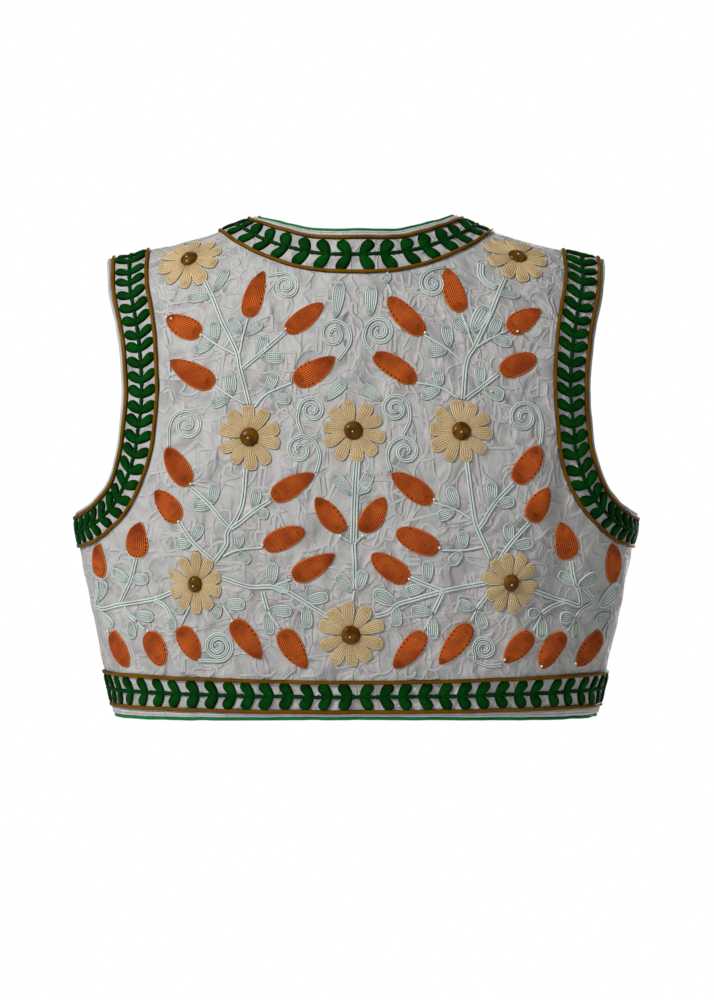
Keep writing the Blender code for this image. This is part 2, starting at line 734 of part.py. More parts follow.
def main():
    """Clear the scene and make every piece of the garment."""
    for old in list(bpy.data.objects):
        bpy.data.objects.remove(old)
    neck = neck_back_run()
    hem = hem_back_run()
    opening = front_opening_run()
    holes = {face: armhole_run(face) for face in ("back", "front")}
    make_panels(neck, hem, opening, holes)
    make_trims(neck, hem, opening, holes)


def make_panels(neck, hem, opening, holes):
    """Make the back and the two fronts."""
    half = back_outline(neck, hem, holes["back"])
    outline = joined([half, mirrored(half)[::-1]])
    leaves = run_leaves(neck, NECK_LEAF_PITCH, True) + run_leaves(hem, EDGE_LEAF_PITCH, True)
    leaves += run_leaves(holes["back"], ARMHOLE_LEAF_PITCH, False)
    worked = cord_lines([neck, hem, holes["back"]], (1.0, -1.0))
    worked += leaves + [line._replace(spots=mirrored(line.spots)) for line in leaves]
    for leaf in TEARDROPS:
        worked += teardrop_lines(leaf)
    for flower in FLOWERS:
        worked += flower_lines(flower)
    troughs = fold_lines("back")
    panel("back", outline, worked + clear_of(worked, troughs), troughs)

    outline = front_outline(opening, holes["front"])
    leaves = front_leaves(opening) + run_leaves(holes["front"], ARMHOLE_LEAF_PITCH, False)
    for name, sign in (("front_right", 1.0), ("front_left", -1.0)):
        worked = cord_lines([opening, holes["front"]], (sign,))
        worked += [line._replace(spots=line.spots * [sign, 1.0]) for line in leaves]
        troughs = [line for line in fold_lines("front") if line.spots[0, 0] * sign > 0.0]
        panel(name, outline * [sign, 1.0], worked + clear_of(worked, troughs), troughs)


def cord_lines(runs, signs):
    """The lines under the couched cords of some runs, on the given sides."""
    lines = []
    for run in runs:
        for curve in (outer_cord(run), inner_cord(run)):
            lines += [Line(curve * [sign, 1.0], 0.0, False) for sign in signs]
    return lines


def back_outline(neck, hem, hole):
    """The right half of the back's outline, from the hem's centre to the neck's."""
    side = seam_curve([panel_rim(hem)[-1], outer_cord(hem)[-1], inner_cord(hem)[-1],
                       inner_cord(hole)[-1], outer_cord(hole)[-1], panel_rim(hole)[-1]], False)
    shoulder = seam_curve([panel_rim(hole)[0], outer_cord(hole)[0], inner_cord(hole)[0],
                           inner_cord(neck)[-1], outer_cord(neck)[-1], panel_rim(neck)[-1]], True)
    return joined([panel_rim(hem), side, panel_rim(hole)[::-1], shoulder, panel_rim(neck)[::-1]])


def front_outline(opening, hole):
    """The right front's outline, from the side of its hem round to the side again."""
    shoulder = seam_curve([panel_rim(opening)[0], outer_cord(opening)[0], inner_cord(opening)[0],
                           inner_cord(hole)[0], outer_cord(hole)[0], panel_rim(hole)[0]], True)
    side = seam_curve([panel_rim(hole)[-1], outer_cord(hole)[-1], inner_cord(hole)[-1],
                       inner_cord(opening)[-1], outer_cord(opening)[-1],
                       panel_rim(opening)[-1]], False)
    return joined([panel_rim(opening)[::-1], shoulder, panel_rim(hole), side])


def piping_points(run, sign):
    """The piping's middle along a run, beside the panel's rim and half way through it."""
    rim = panel_rim(run)
    outward = -run.side * np.cross(slopes_at(rim)[2], np.gradient(cloth(rim), axis=0))
    reach = np.full(len(rim), PIPING_DIAMETER / 2.0 + SEAM_GAP)
    middle = snapped(walk(rim, outward, reach), run.first, run.last)
    return cloth(middle * [sign, 1.0], -WALL / 2.0)


def outer_cord_points(run, sign):
    """The middle of the couched cord next to the edge, just clear of the cloth."""
    return cloth(outer_cord(run) * [sign, 1.0], SEAM_GAP + CORD_DIAMETER / 2.0)


def inner_cord_points(run, sign):
    """The middle of the couched cord that closes the leaf border."""
    return cloth(inner_cord(run) * [sign, 1.0], SEAM_GAP + CORD_DIAMETER / 2.0)


# A kind of trim: the word in its nodes' names, where it runs, its diameter, and its
# finish round the edge and round the armholes.
Trim = namedtuple("Trim", "word points_of diameter edge_finish armhole_finish")
TRIMS = [
    Trim("piping", piping_points, PIPING_DIAMETER, PIPING_GREEN, GROUND),
    Trim("cord_outer", outer_cord_points, CORD_DIAMETER, CORD_BROWN, CORD_BROWN),
    Trim("cord_inner", inner_cord_points, CORD_DIAMETER, CORD_BROWN, CORD_BROWN),
]


def make_trims(neck, hem, opening, holes):
    """Make the piping and the couched cords, each a closed loop round its edge."""
    for trim in TRIMS:
        right = [trim.points_of(run, 1.0) for run in (neck, opening, hem)]
        left = [trim.points_of(run, -1.0)[::-1] for run in (hem, opening, neck)]
        left[0] = left[0][::-1]
        right[2] = right[2][::-1]
        closed_cord("edge_" + trim.word, loop_points(right + left), trim.diameter, trim.edge_finish)
        for name, sign in (("right", 1.0), ("left", -1.0)):
            front = trim.points_of(holes["front"], sign)
            back = trim.points_of(holes["back"], sign)[::-1]
            points = loop_points([front, back])
            closed_cord(f"armhole_{trim.word}_{name}", points, trim.diameter, trim.armhole_finish)


main()
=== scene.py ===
"""Looks of the embroidered waistcoat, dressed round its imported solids.

Sizes are in millimetres until a mesh is made, and +X is the wearer's right, +Y the
wearer's front and +Z up. A place on the cloth is a spot, a pair of numbers: `around`,
the way round the chest section from the centre back (plus to the wearer's right), and
`rise`, the way up the cloth from the chest line. All that is sewn on the cloth is laid
through spots, so it follows the cloth's form, troughs and dents.
"""

from __future__ import annotations

import logging
import math
from dataclasses import dataclass, field, replace
from enum import Enum
from typing import Callable, Iterable, Sequence

import bmesh
import bpy
import numpy as np
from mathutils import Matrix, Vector


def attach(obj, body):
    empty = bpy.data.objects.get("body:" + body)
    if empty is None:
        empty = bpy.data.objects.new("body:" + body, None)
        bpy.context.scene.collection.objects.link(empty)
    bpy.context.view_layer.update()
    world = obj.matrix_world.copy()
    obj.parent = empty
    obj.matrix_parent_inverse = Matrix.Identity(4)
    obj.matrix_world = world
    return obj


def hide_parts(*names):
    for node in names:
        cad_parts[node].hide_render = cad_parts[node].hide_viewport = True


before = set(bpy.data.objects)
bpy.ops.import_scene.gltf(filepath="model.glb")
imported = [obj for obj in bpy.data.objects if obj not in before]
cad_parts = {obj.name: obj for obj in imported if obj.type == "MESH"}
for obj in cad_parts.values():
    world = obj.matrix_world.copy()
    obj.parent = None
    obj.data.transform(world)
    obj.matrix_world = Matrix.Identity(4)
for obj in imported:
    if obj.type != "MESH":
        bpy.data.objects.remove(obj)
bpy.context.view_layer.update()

LOG = logging.getLogger("waistcoat")
METRE = 0.001
MERGE_M = 2e-6

Spots = np.ndarray
Points = np.ndarray
Numbers = np.ndarray
Marked = tuple[Points, Spots]
Triple = tuple[float, float, float]
Colour = Triple
Place = tuple[float, float]
Span = tuple[float, float]
Placer = Callable[[Numbers, Numbers], Marked]
PlaceAt = Callable[[Numbers], Spots]
RunLine = Callable[["Run"], Spots]
Random = np.random.Generator
Piece = bpy.types.Object
Material = bpy.types.Material
Socket = bpy.types.NodeSocket


class Face(Enum):
    """The side of the garment that a place is read on."""

    BACK = "back"
    FRONT = "front"


class Seam(Enum):
    """Where a run of edge begins or ends."""

    CENTRE = "centre"
    SHOULDER = "shoulder"
    SIDE_BACK = "side_back"
    SIDE_FRONT = "side_front"


class StemKind(Enum):
    """How many threads lie side by side in a stem."""

    SINGLE = 1
    DOUBLE = 2
    TRIPLE = 3


# ---------------- the cloth's form


@dataclass(frozen=True)
class Crease:
    """A soft trough in the cloth from its head to its foot, in millimetres."""

    face: Face
    head: Place
    foot: Place
    half_width: float
    depth: float


CREASES = tuple(Crease(face, *row) for face, rows in (
    (Face.BACK, (
        ((153, 168), (150, 318), 13, 5.0), ((-151, 250), (-146, 330), 12, 2.0),
        ((92, 292), (96, 352), 11, 2.2), ((-70, 176), (-74, 216), 11, 1.6),
    )),
    (Face.FRONT, (
        ((140, 190), (134, 330), 14, 4.5), ((-148, 175), (-143, 300), 13, 4.0),
        ((96, 280), (100, 350), 12, 2.5), ((-90, 262), (-93, 348), 12, 2.5),
    )),
    (Face.BACK, (
        ((-156, 60), (-138, 104), 6, 0.9), ((-40, 60), (-62, 98), 7, 0.9),
        ((30, 112), (4, 150), 8, 0.9), ((-150, 128), (-118, 152), 6, 0.9),
        ((96, 188), (134, 196), 6, 0.8), ((-26, 198), (-34, 300), 7, 0.9),
        ((28, 226), (34, 306), 8, 1.0), ((-166, 214), (-150, 246), 6, 1.0),
        ((170, 232), (184, 262), 7, 1.1), ((-118, 334), (-98, 352), 5, 0.8),
        ((-8, 342), (26, 354), 5, 0.7), ((146, 316), (158, 352), 6, 1.0),
    )),
    (Face.FRONT, (
        ((60, 150), (84, 196), 9, 1.2), ((-64, 130), (-92, 184), 9, 1.2),
        ((150, 110), (128, 140), 7, 1.0), ((-150, 96), (-120, 136), 7, 1.0),
        ((52, 236), (58, 322), 8, 1.1), ((-48, 210), (-56, 300), 8, 1.2),
        ((184, 250), (176, 330), 8, 1.3), ((-186, 256), (-178, 322), 8, 1.2),
    )),
) for row in rows)


def smooth_table(rows: Sequence[Place], x: Numbers) -> Numbers:
    """A smooth curve through a table's rows of (x, value), read at x.

    Args:
        rows: the table, with x rising.
        x: where to read it.

    Returns:
        The value at each x.
    """
    xs, ys = np.array(rows, float).T
    slopes = np.gradient(ys, xs)
    i = np.clip(np.searchsorted(xs, x, side="right") - 1, 0, len(xs) - 2)
    width = xs[i + 1] - xs[i]
    u = (x - xs[i]) / width
    value = (2 * u**3 - 3 * u**2 + 1) * ys[i] + (3 * u**2 - 2 * u**3) * ys[i + 1]
    return value + width * ((u**3 - 2 * u**2 + u) * slopes[i] + (u**3 - u**2) * slopes[i + 1])


@dataclass
class Figure:
    """The general figure that the cloth lies on, and the cloth's troughs and dents."""

    chest_half_width: float = 215.5
    chest_half_depth: float = 107.0
    chest_drop: float = 235.0
    waist_drop: float = 385.5
    waist_half_depth: float = 88.0
    side_taper: float = 0.22
    side_taper_ease: float = 12.0
    flatness: float = 0.4
    ridge: float = 270.0
    seam_gap: float = 0.3
    elevation_distance: float = 2800.0
    elevation_drop: float = 194.0
    shoulder_room: float = 1.2
    dent_height: float = 0.56
    dent_lengths: Span = (15.0, 62.0)
    dent_middle: float = 40.0
    dent_growth: float = 0.7
    dent_waves: int = 30
    dent_seed: int = 11
    trough_power: float = 0.8
    shoulder_line: tuple[Place, ...] = (
        (-40, -13), (0, -22), (40, -13), (74, 0), (108, 14), (160, 28), (191, 34), (230, 39),
    )
    creases: tuple[Crease, ...] = CREASES
    share: Numbers = field(init=False)
    width_part: Numbers = field(init=False)
    depth_part: Numbers = field(init=False)
    half_girth: float = field(init=False)
    troughs: list[tuple[Spots, Spots, float, float]] = field(init=False)
    waves: tuple[Numbers, Numbers, Numbers] = field(init=False)

    def __post_init__(self) -> None:
        """Work out the level section, the troughs' ends and the dents' waves."""
        self._measure_section()
        self.troughs = [
            (self.spot_at(*c.head, c.face), self.spot_at(*c.foot, c.face), c.half_width, c.depth)
            for c in self.creases
        ]
        rng = np.random.default_rng(self.dent_seed)
        length = rng.uniform(*self.dent_lengths, self.dent_waves)
        heading = rng.uniform(0.0, math.pi, self.dent_waves)
        turn = 2.0 * math.pi / length[:, None] * np.stack([np.cos(heading), np.sin(heading)], 1)
        start = rng.uniform(0, 2 * math.pi, self.dent_waves)
        self.waves = (turn, start, (length / self.dent_middle) ** self.dent_growth)

    def _measure_section(self, steps: int = 1440) -> None:
        """Trace half of the level section from the centre back to the centre front.

        Args:
            steps: how many chords it is traced in.
        """
        self.share = np.linspace(0.0, 1.0, steps + 1)
        heading = np.pi * self.share - self.flatness * np.sin(2.0 * np.pi * self.share)
        middle = (heading[1:] + heading[:-1]) / 2.0
        across = np.concatenate([[0.0], np.cumsum(np.cos(middle))])
        along = np.concatenate([[0.0], np.cumsum(np.sin(middle))])
        self.width_part = across / across.max()
        self.depth_part = 2.0 * along / along[-1] - 1.0
        self.half_girth = self.chest_half_width * steps / across.max()

    @property
    def side(self) -> float:
        """How far round the side seam lies."""
        return self.half_girth / 2.0

    def half_width(self, drop: Numbers) -> Numbers:
        """Half the garment's width at a level."""
        below = np.maximum(drop - self.chest_drop, 0.0)
        slack = np.hypot(below, self.side_taper_ease) - self.side_taper_ease
        return self.chest_half_width - self.side_taper * slack

    def half_depth(self, drop: Numbers) -> Numbers:
        """Half the garment's depth at a level."""
        part = np.maximum(drop - self.chest_drop, 0.0) / (self.waist_drop - self.chest_drop)
        return self.chest_half_depth - (self.chest_half_depth - self.waist_half_depth) * part**2

    def points(self, spots: Spots) -> Points:
        """Points of the bare figure at an (n, 2) array of spots.

        Args:
            spots: the spots.

        Returns:
            The points.
        """
        share = np.clip(np.abs(spots[:, 0]) / self.half_girth, 0.0, 1.0)
        width = np.interp(share, self.share, self.width_part)
        depth = np.interp(share, self.share, self.depth_part)
        drop = self.chest_drop - np.minimum(spots[:, 1], 0.0)
        turn = np.clip(spots[:, 1], 0.0, self.ridge * 1.02) / self.ridge * math.pi / 2.0
        across = width * self.half_width(np.minimum(drop, self.waist_drop + 30.0))
        top = self.chest_drop - smooth_table(self.shoulder_line, across)
        up = np.minimum(spots[:, 1], 0.0) - self.chest_drop + top * np.sin(turn)
        forward = depth * self.half_depth(drop) * np.cos(turn)
        return np.stack([np.sign(spots[:, 0]) * across, forward, up], axis=1)

    def slopes(self, spots: Spots, step: float = 0.05) -> tuple[Points, Points, Points]:
        """How points move with `around` and `rise`, and the outward normals.

        Args:
            spots: the spots.
            step: how far each side it looks.

        Returns:
            The two moves for a millimetre, and the normals.
        """
        spots = np.atleast_2d(spots).astype(float)
        held = spots.copy()
        held[:, 0] = np.where(np.abs(held[:, 0]) < step, step, held[:, 0])
        held[:, 1] = np.minimum(held[:, 1], self.ridge - step)
        by_around = self.points(held + [step, 0]) - self.points(held - [step, 0])
        by_rise = self.points(held + [0, step]) - self.points(held - [0, step])
        normal = np.cross(by_around, by_rise)
        normal /= np.linalg.norm(normal, axis=1)[:, None]
        return by_around / (2 * step), by_rise / (2 * step), normal

    def sunk(self, spots: Spots) -> Numbers:
        """How far the troughs and the dents sink the cloth at each spot.

        Args:
            spots: the spots.

        Returns:
            The depths.
        """
        turn, start, weight = self.waves
        rough = (np.sin(spots @ turn.T + start) * weight).sum(1) / math.sqrt(self.dent_waves)
        total = self.dent_height * rough
        for head, foot, half_width, depth in self.troughs:
            line = foot - head
            part = ((spots - head) @ line) / (line @ line)
            away = spots - head - part[:, None] * line
            along = np.clip(4.0 * part * (1.0 - part), 0.0, 1.0) ** self.trough_power
            total += depth * along * np.exp(-(away**2).sum(1) / half_width**2)
        return total

    def cloth(self, spots: Spots, out: float | Numbers = 0.0) -> Points:
        """Points `out` millimetres proud of the cloth's outer skin."""
        spots = np.atleast_2d(spots)
        proud = np.asarray(out, float) - self.sunk(spots)
        return self.points(spots) + self.slopes(spots)[2] * (proud * np.ones(len(spots)))[:, None]

    def back_share(self, width_part: float) -> float:
        """The share of the half section, from the centre back, at a part of its half width."""
        middle = len(self.share) // 2 + 1
        return float(np.interp(min(width_part, 1.0), self.width_part[:middle], self.share[:middle]))

    def spot_at(self, across: float, drop: float, face: Face) -> Spots:
        """The cloth's spot at a distance across and a drop, on the back or a front.

        Args:
            across: millimetres from the middle, plus to the right.
            drop: millimetres below the mount.
            face: the back or a front.

        Returns:
            The spot.
        """
        if drop > self.chest_drop:
            part = abs(across) / float(self.half_width(drop))
            rise = self.chest_drop - drop
        else:
            part = abs(across) / self.chest_half_width
            shoulder = smooth_table(self.shoulder_line, np.array([abs(across)]))[0]
            top = self.chest_drop - float(shoulder)
            rise = math.asin(min((self.chest_drop - drop) / top, 1.0)) * self.ridge * 2.0 / math.pi
        share = self.back_share(part)
        if face is Face.FRONT:
            share = 1.0 - share
        return np.array([math.copysign(share * self.half_girth, across), rise])

    def back_spot(self, across: float, drop: float) -> Spots:
        """The back's spot that the back elevation shows at a place."""
        nearness = 1.0
        for _ in range(5):
            seen = self.elevation_drop + (drop - self.elevation_drop) * nearness
            spot = self.spot_at(across * nearness, seen, Face.BACK)
            nearness = 1.0 + self.points(spot[None, :])[0, 1] / self.elevation_distance
        return spot

    def back_spots(self, places: Iterable[Place]) -> Spots:
        """The back's spots at several places of its elevation."""
        return np.array([self.back_spot(*place) for place in places])

    def shift(self, spots: Spots, direction: Points) -> tuple[Spots, Points]:
        """The shift of each spot that moves its point a millimetre towards a direction.

        Args:
            spots: the spots.
            direction: where each one heads, as points' rows.

        Returns:
            The shifts, and the headings laid level with the cloth.
        """
        by_around, by_rise, _ = self.slopes(spots)
        aa, ab, bb = (by_around**2).sum(1), (by_around * by_rise).sum(1), (by_rise**2).sum(1)
        pa, pb = (direction * by_around).sum(1), (direction * by_rise).sum(1)
        found = np.stack([bb * pa - ab * pb, aa * pb - ab * pa], axis=1)
        found /= (aa * bb - ab * ab)[:, None]
        moved = found[:, :1] * by_around + found[:, 1:] * by_rise
        length = np.linalg.norm(moved, axis=1)[:, None]
        return found / length, moved / length

    def walk(self, spots: Spots, direction: Points, distance: Numbers, steps: int = 6) -> Spots:
        """Spots reached by walking over the cloth from each spot towards a direction."""
        spots = np.array(spots, float)
        for _ in range(steps):
            shift, direction = self.shift(spots, direction)
            spots = spots + shift * (distance / steps)[:, None]
        return spots

    def between(self, base: Place, tip: Place) -> tuple[PlaceAt, float]:
        """What turns (along, left) millimetres midway between two of the back's places into spots.

        Args:
            base: the place that it is measured from.
            tip: the place that it heads for.

        Returns:
            The function, and how far apart the places are.
        """
        base, tip = self.back_spots((base, tip))
        reach = (self.cloth(tip) - self.cloth(base))[0]
        return self.local((base + tip) / 2.0, reach), float(np.linalg.norm(reach))

    def local(self, spot: Spots, heading: Sequence[float]) -> PlaceAt:
        """A function that turns (along, left) millimetres at a spot into spots.

        Args:
            spot: the middle.
            heading: the way that `along` points.

        Returns:
            The function.
        """
        spot = np.atleast_2d(spot)
        normal = self.slopes(spot)[2]
        forward, level = self.shift(spot, np.atleast_2d(heading))
        left, _ = self.shift(spot, np.cross(normal, level))
        top = self.shoulder_rise(spot[:, 0])[0] - self.shoulder_room

        def place(offsets: Numbers) -> Spots:
            """Spots at some (along, left) offsets, kept on this side of the shoulder seam."""
            found = spot + offsets[:, :1] * forward + offsets[:, 1:] * left
            found[:, 1] = np.minimum(found[:, 1], top)
            return found

        return place

    def shoulder_rise(self, around: Numbers) -> Numbers:
        """The rise of the shoulder seam's edge, half a seam gap short of the ridge."""
        share = np.abs(around) / self.half_girth
        depth = np.abs(np.interp(share, self.share, self.depth_part)) * self.chest_half_depth
        return self.ridge - self.seam_gap / 2.0 / (depth * math.pi / 2.0 / self.ridge)


def smooth_path(knots: Spots, first: Spots | None = None, last: Spots | None = None,
                count: int = 260) -> Spots:
    """A Catmull-Rom curve through knots, with optional ghost ends.

    Args:
        knots: the points or spots that it passes.
        first: the ghost before the first knot.
        last: the ghost after the last one.
        count: how many rows to return.

    Returns:
        The curve's rows.
    """
    knots = np.asarray(knots, float)
    first = 2 * knots[0] - knots[1] if first is None else first
    last = 2 * knots[-1] - knots[-2] if last is None else last
    whole = np.vstack([first, knots, last])
    place = np.linspace(0, len(knots) - 1, count)
    i = np.minimum(place.astype(int), len(knots) - 2)
    u = (place - i)[:, None]
    a, b, c, d = whole[i], whole[i + 1], whole[i + 2], whole[i + 3]
    return 0.5 * (2 * b + (c - a) * u + (2 * a - 5 * b + 4 * c - d) * u**2
                  + (3 * b - a - 3 * c + d) * u**3)


def way_along(rows: Numbers) -> Numbers:
    """The distance from the first row to each one, along the rows."""
    return np.concatenate([[0.0], np.cumsum(np.linalg.norm(np.diff(rows, axis=0), axis=1))])


def read_at(rows: Numbers, way: Numbers, place: Numbers) -> Numbers:
    """Rows read at places along their way."""
    return np.stack([np.interp(place, way, rows[:, k]) for k in range(rows.shape[1])], axis=1)


def even(rows: Numbers, way: Numbers, step: float) -> Numbers:
    """Rows read at even places, about a step apart, along their way."""
    count = max(int(round(way[-1] / step)), 2)
    return read_at(rows, way, np.linspace(0.0, way[-1], count + 1))


def inside(loop: Spots, spots: Spots) -> Numbers:
    """Which spots lie inside a closed loop."""
    x, y = spots[:, 0], spots[:, 1]
    hit = np.zeros(len(spots), bool)
    for (ax, ay), (bx, by) in zip(loop, np.roll(loop, -1, axis=0)):
        if ay != by:
            hit ^= ((ay > y) != (by > y)) & (x < ax + (y - ay) * (bx - ax) / (by - ay))
    return hit


# ---------------- the cut


@dataclass(frozen=True)
class Border:
    """How far in from an edge its cords lie, and how much further at the run's first seam.

    `hold` says how long that swell holds along the run.
    """

    outer_cord: float
    inner_cord: float
    outer_swell: float = 0.0
    inner_swell: float = 0.0
    hold: float = 1.0

    def swelled(self, share: Numbers) -> Numbers:
        """How much of the swell is left at each share of the run, from all to none."""
        return np.cos(share**self.hold * math.pi / 2.0) ** 2


@dataclass(frozen=True)
class Run:
    """A stretch of the garment's edge on its right half."""

    edge: Spots
    border: Border
    first: Seam
    last: Seam
    side: int
    pitch: float
    forward: bool


@dataclass
class Cutting:
    """The cut edges of the garment's right half and the lines that run beside them."""

    figure: Figure
    neck_half_width: float = 74.0
    neck_back_depth: float = 54.2
    hem_arch: float = 2.5
    piping: float = 2.4
    edge_pitch: float = 14.2
    neck_pitch: float = 16.2
    armhole_pitch: float = 11.9
    band_gaps: Span = (0.5, 0.8)
    clear_share: float = 0.95
    seam_step: float = 3.0
    edge_steps: int = 260
    neck_border: Border = Border(8.6, 33.0, 0.7, 5.6)
    hem_border: Border = Border(10.3, 35.5, -3.5, -6.0)
    opening_border: Border = Border(10.3, 35.5, -2.0, -2.5)
    armhole_border: Border = Border(4.6, 25.5, 0.4, 6.0, 5.0)
    armhole_edge: tuple[Place, ...] = (
        (191, 34), (190.5, 46), (188, 65), (183, 86), (179.6, 104), (177.4, 127), (177, 145),
        (178, 160), (180.6, 181), (186.8, 201), (194, 213), (205.5, 223.6), (215.5, 229.5),
    )
    opening_edge: tuple[Place, ...] = (
        (74, 0), (71, 22), (60, 64), (44, 108), (26, 150), (9, 184), (1.2, 206), (0.6, 240),
        (0.6, 290), (0.6, 340), (1.5, 368.5), (6, 380.5), (18, 385.5), (50, 385.5), (100, 385.5),
        (150, 385.5),
    )
    neck: Run = field(init=False)
    hem: Run = field(init=False)
    opening: Run = field(init=False)
    holes: dict[Face, Run] = field(init=False)

    def __post_init__(self) -> None:
        """Draw the four runs of edge."""
        self.neck = self._neck_run()
        self.hem = self._hem_run()
        self.opening = self._opening_run()
        self.holes = {face: self._armhole_run(face) for face in Face}

    def _neck_run(self) -> Run:
        """The back neck from the centre back to the right shoulder, half an ellipse in plan."""
        figure, spots = self.figure, []
        for angle in np.linspace(math.pi / 2.0, 0.0, self.edge_steps // 2):
            across = self.neck_half_width * math.cos(angle)
            share = figure.back_share(across / figure.chest_half_width)
            depth = -np.interp(share, figure.share, figure.depth_part) * figure.chest_half_depth
            turn = math.acos(self.neck_back_depth * math.sin(angle) / depth)
            spots.append([share * figure.half_girth, turn * figure.ridge * 2.0 / math.pi])
        return Run(np.array(spots), self.neck_border, Seam.CENTRE, Seam.SHOULDER, -1,
                   self.neck_pitch, True)

    def _hem_run(self) -> Run:
        """The back hem from the centre back to the right side seam."""
        figure = self.figure
        around = np.linspace(0.0, figure.side, self.edge_steps)
        arch = self.hem_arch * np.cos(around / figure.side * math.pi / 2.0) ** 2
        edge = np.stack([around, figure.chest_drop - figure.waist_drop + arch], axis=1)
        return Run(edge, self.hem_border, Seam.CENTRE, Seam.SIDE_BACK, 1, self.edge_pitch, True)

    def _knots(self, table: Sequence[Place], face: Face) -> tuple[list[Spots], Spots]:
        """A table's spots, the first on the shoulder ridge, and their ghost beyond the ridge."""
        figure = self.figure
        knots = [figure.spot_at(*row, face) for row in table]
        knots[0][1] = figure.ridge
        return knots, np.array([knots[1][0], 2 * figure.ridge - knots[1][1]])

    def _opening_run(self) -> Run:
        """The right front's free edge: neck, front edge, corner and hem to the side seam."""
        figure = self.figure
        knots, over = self._knots(self.opening_edge, Face.FRONT)
        knots.append(np.array([figure.side, figure.chest_drop - figure.waist_drop]))
        edge = smooth_path(np.array(knots), over, count=3 * self.edge_steps)
        return Run(edge, self.opening_border, Seam.SHOULDER, Seam.SIDE_FRONT, -1,
                   self.edge_pitch, True)

    def _armhole_run(self, face: Face) -> Run:
        """An armhole edge from the right shoulder down to the side seam."""
        knots, over = self._knots(self.armhole_edge, face)
        past = np.array([2 * self.figure.side - knots[-2][0], knots[-2][1]])
        edge = smooth_path(np.array(knots), over, past, self.edge_steps)
        last, side = (Seam.SIDE_FRONT, 1) if face is Face.FRONT else (Seam.SIDE_BACK, -1)
        return Run(edge, self.armhole_border, Seam.SHOULDER, last, side, self.armhole_pitch, False)

    def inward(self, run: Run) -> Points:
        """The way into the panel at each spot of a run's edge."""
        tangent = np.gradient(self.figure.cloth(run.edge), axis=0)
        return run.side * np.cross(self.figure.slopes(run.edge)[2], tangent)

    def inset(self, run: Run, distance: float, swell: float = 0.0, step: float = 3.0) -> Spots:
        """The line a distance in from a run's edge, its swallowtails cut, its ends on the seams.

        Args:
            run: the run.
            distance: how far in.
            swell: how much further at its first seam.
            step: how far apart its spots lie.

        Returns:
            The line.
        """
        points = self.figure.cloth(run.edge)
        way = way_along(points)
        amount = distance + swell * run.border.swelled(way / way[-1])
        moved = self.figure.walk(run.edge, self.inward(run), amount)
        reached = self.figure.cloth(moved)
        gap = np.linalg.norm(reached[:, None, :] - points[None, :, :], axis=2).min(axis=1)
        curve = self.snapped(moved[gap > self.clear_share * np.abs(amount)], run)
        return self.snapped(even(curve, way_along(self.figure.cloth(curve)), step), run)

    def snapped(self, curve: Spots, run: Run) -> Spots:
        """A curve whose ends sit exactly on the run's seams.

        Args:
            curve: the curve, from the first seam to the last.
            run: its run.

        Returns:
            The curve.
        """
        curve = curve.copy()
        gap = self.figure.seam_gap / 2.0
        for index, seam in ((0, run.first), (-1, run.last)):
            if seam is Seam.CENTRE:
                curve[index, 0] = 0.0
            elif seam is Seam.SHOULDER:
                curve[index, 1] = self.figure.shoulder_rise(curve[index, 0])
            else:
                curve[index, 0] = self.figure.side + (gap if seam is Seam.SIDE_FRONT else -gap)
        return curve

    def rim(self, run: Run) -> Spots:
        """The edge of the panel itself, which stops short of the piping."""
        return self.inset(run, self.piping + self.figure.seam_gap)

    def outer_cord(self, run: Run) -> Spots:
        """The line under a run's outer couched cord."""
        return self.inset(run, run.border.outer_cord, run.border.outer_swell)

    def inner_cord(self, run: Run) -> Spots:
        """The line under a run's inner couched cord."""
        return self.inset(run, run.border.inner_cord, run.border.inner_swell)

    def piping_line(self, run: Run) -> Spots:
        """The line under the middle of a run's piping."""
        return self.inset(run, self.piping / 2.0)

    def band_line(self, run: Run, part: float) -> Spots:
        """A line of the pale band, part of the way from the piping to the outer cord."""
        near, far = self.piping + self.band_gaps[0], run.border.outer_cord - self.band_gaps[1]
        return self.inset(run, near + (far - near) * part, run.border.outer_swell * part)

    def vine(self, run: Run) -> tuple[Spots, Numbers]:
        """The middle of a leaf border and the half width that is free for its leaves."""
        border = run.border
        middle = (border.outer_cord + border.inner_cord) / 2.0
        curve = self.inset(run, middle, (border.outer_swell + border.inner_swell) / 2.0, 1.0)
        share = np.linspace(0.0, 1.0, len(curve))
        swell = (border.inner_swell - border.outer_swell) * border.swelled(share)
        return curve, (border.inner_cord - border.outer_cord + swell) / 2.0

    def seam_line(self, start: Spots, end: Spots, on_shoulder: bool) -> Spots:
        """A seam's edge between two spots."""
        count = max(int(np.linalg.norm(end - start) / self.seam_step), 2)
        curve = start + (end - start) * np.linspace(0.0, 1.0, count)[:, None]
        if on_shoulder:
            curve[:, 1] = self.figure.shoulder_rise(curve[:, 0])
        return curve

    def back_loop(self, line: RunLine) -> Spots:
        """A closed loop round the back through one line of each of its runs."""
        hem, hole, neck = line(self.hem), line(self.holes[Face.BACK]), line(self.neck)
        side = self.seam_line(hem[-1], hole[-1], False)
        shoulder = self.seam_line(hole[0], neck[-1], True)
        half = np.vstack([hem, side[1:], hole[::-1][1:], shoulder[1:], neck[::-1][1:]])
        return np.vstack([half, (half * [-1.0, 1.0])[::-1][1:-1]])

    def front_loop(self, line: RunLine) -> Spots:
        """A closed loop round the right front through one line of each of its runs."""
        opening, hole = line(self.opening), line(self.holes[Face.FRONT])
        shoulder = self.seam_line(opening[0], hole[0], True)
        side = self.seam_line(hole[-1], opening[-1], False)
        return np.vstack([opening[::-1], shoulder[1:], hole[1:], side[1:-1]])

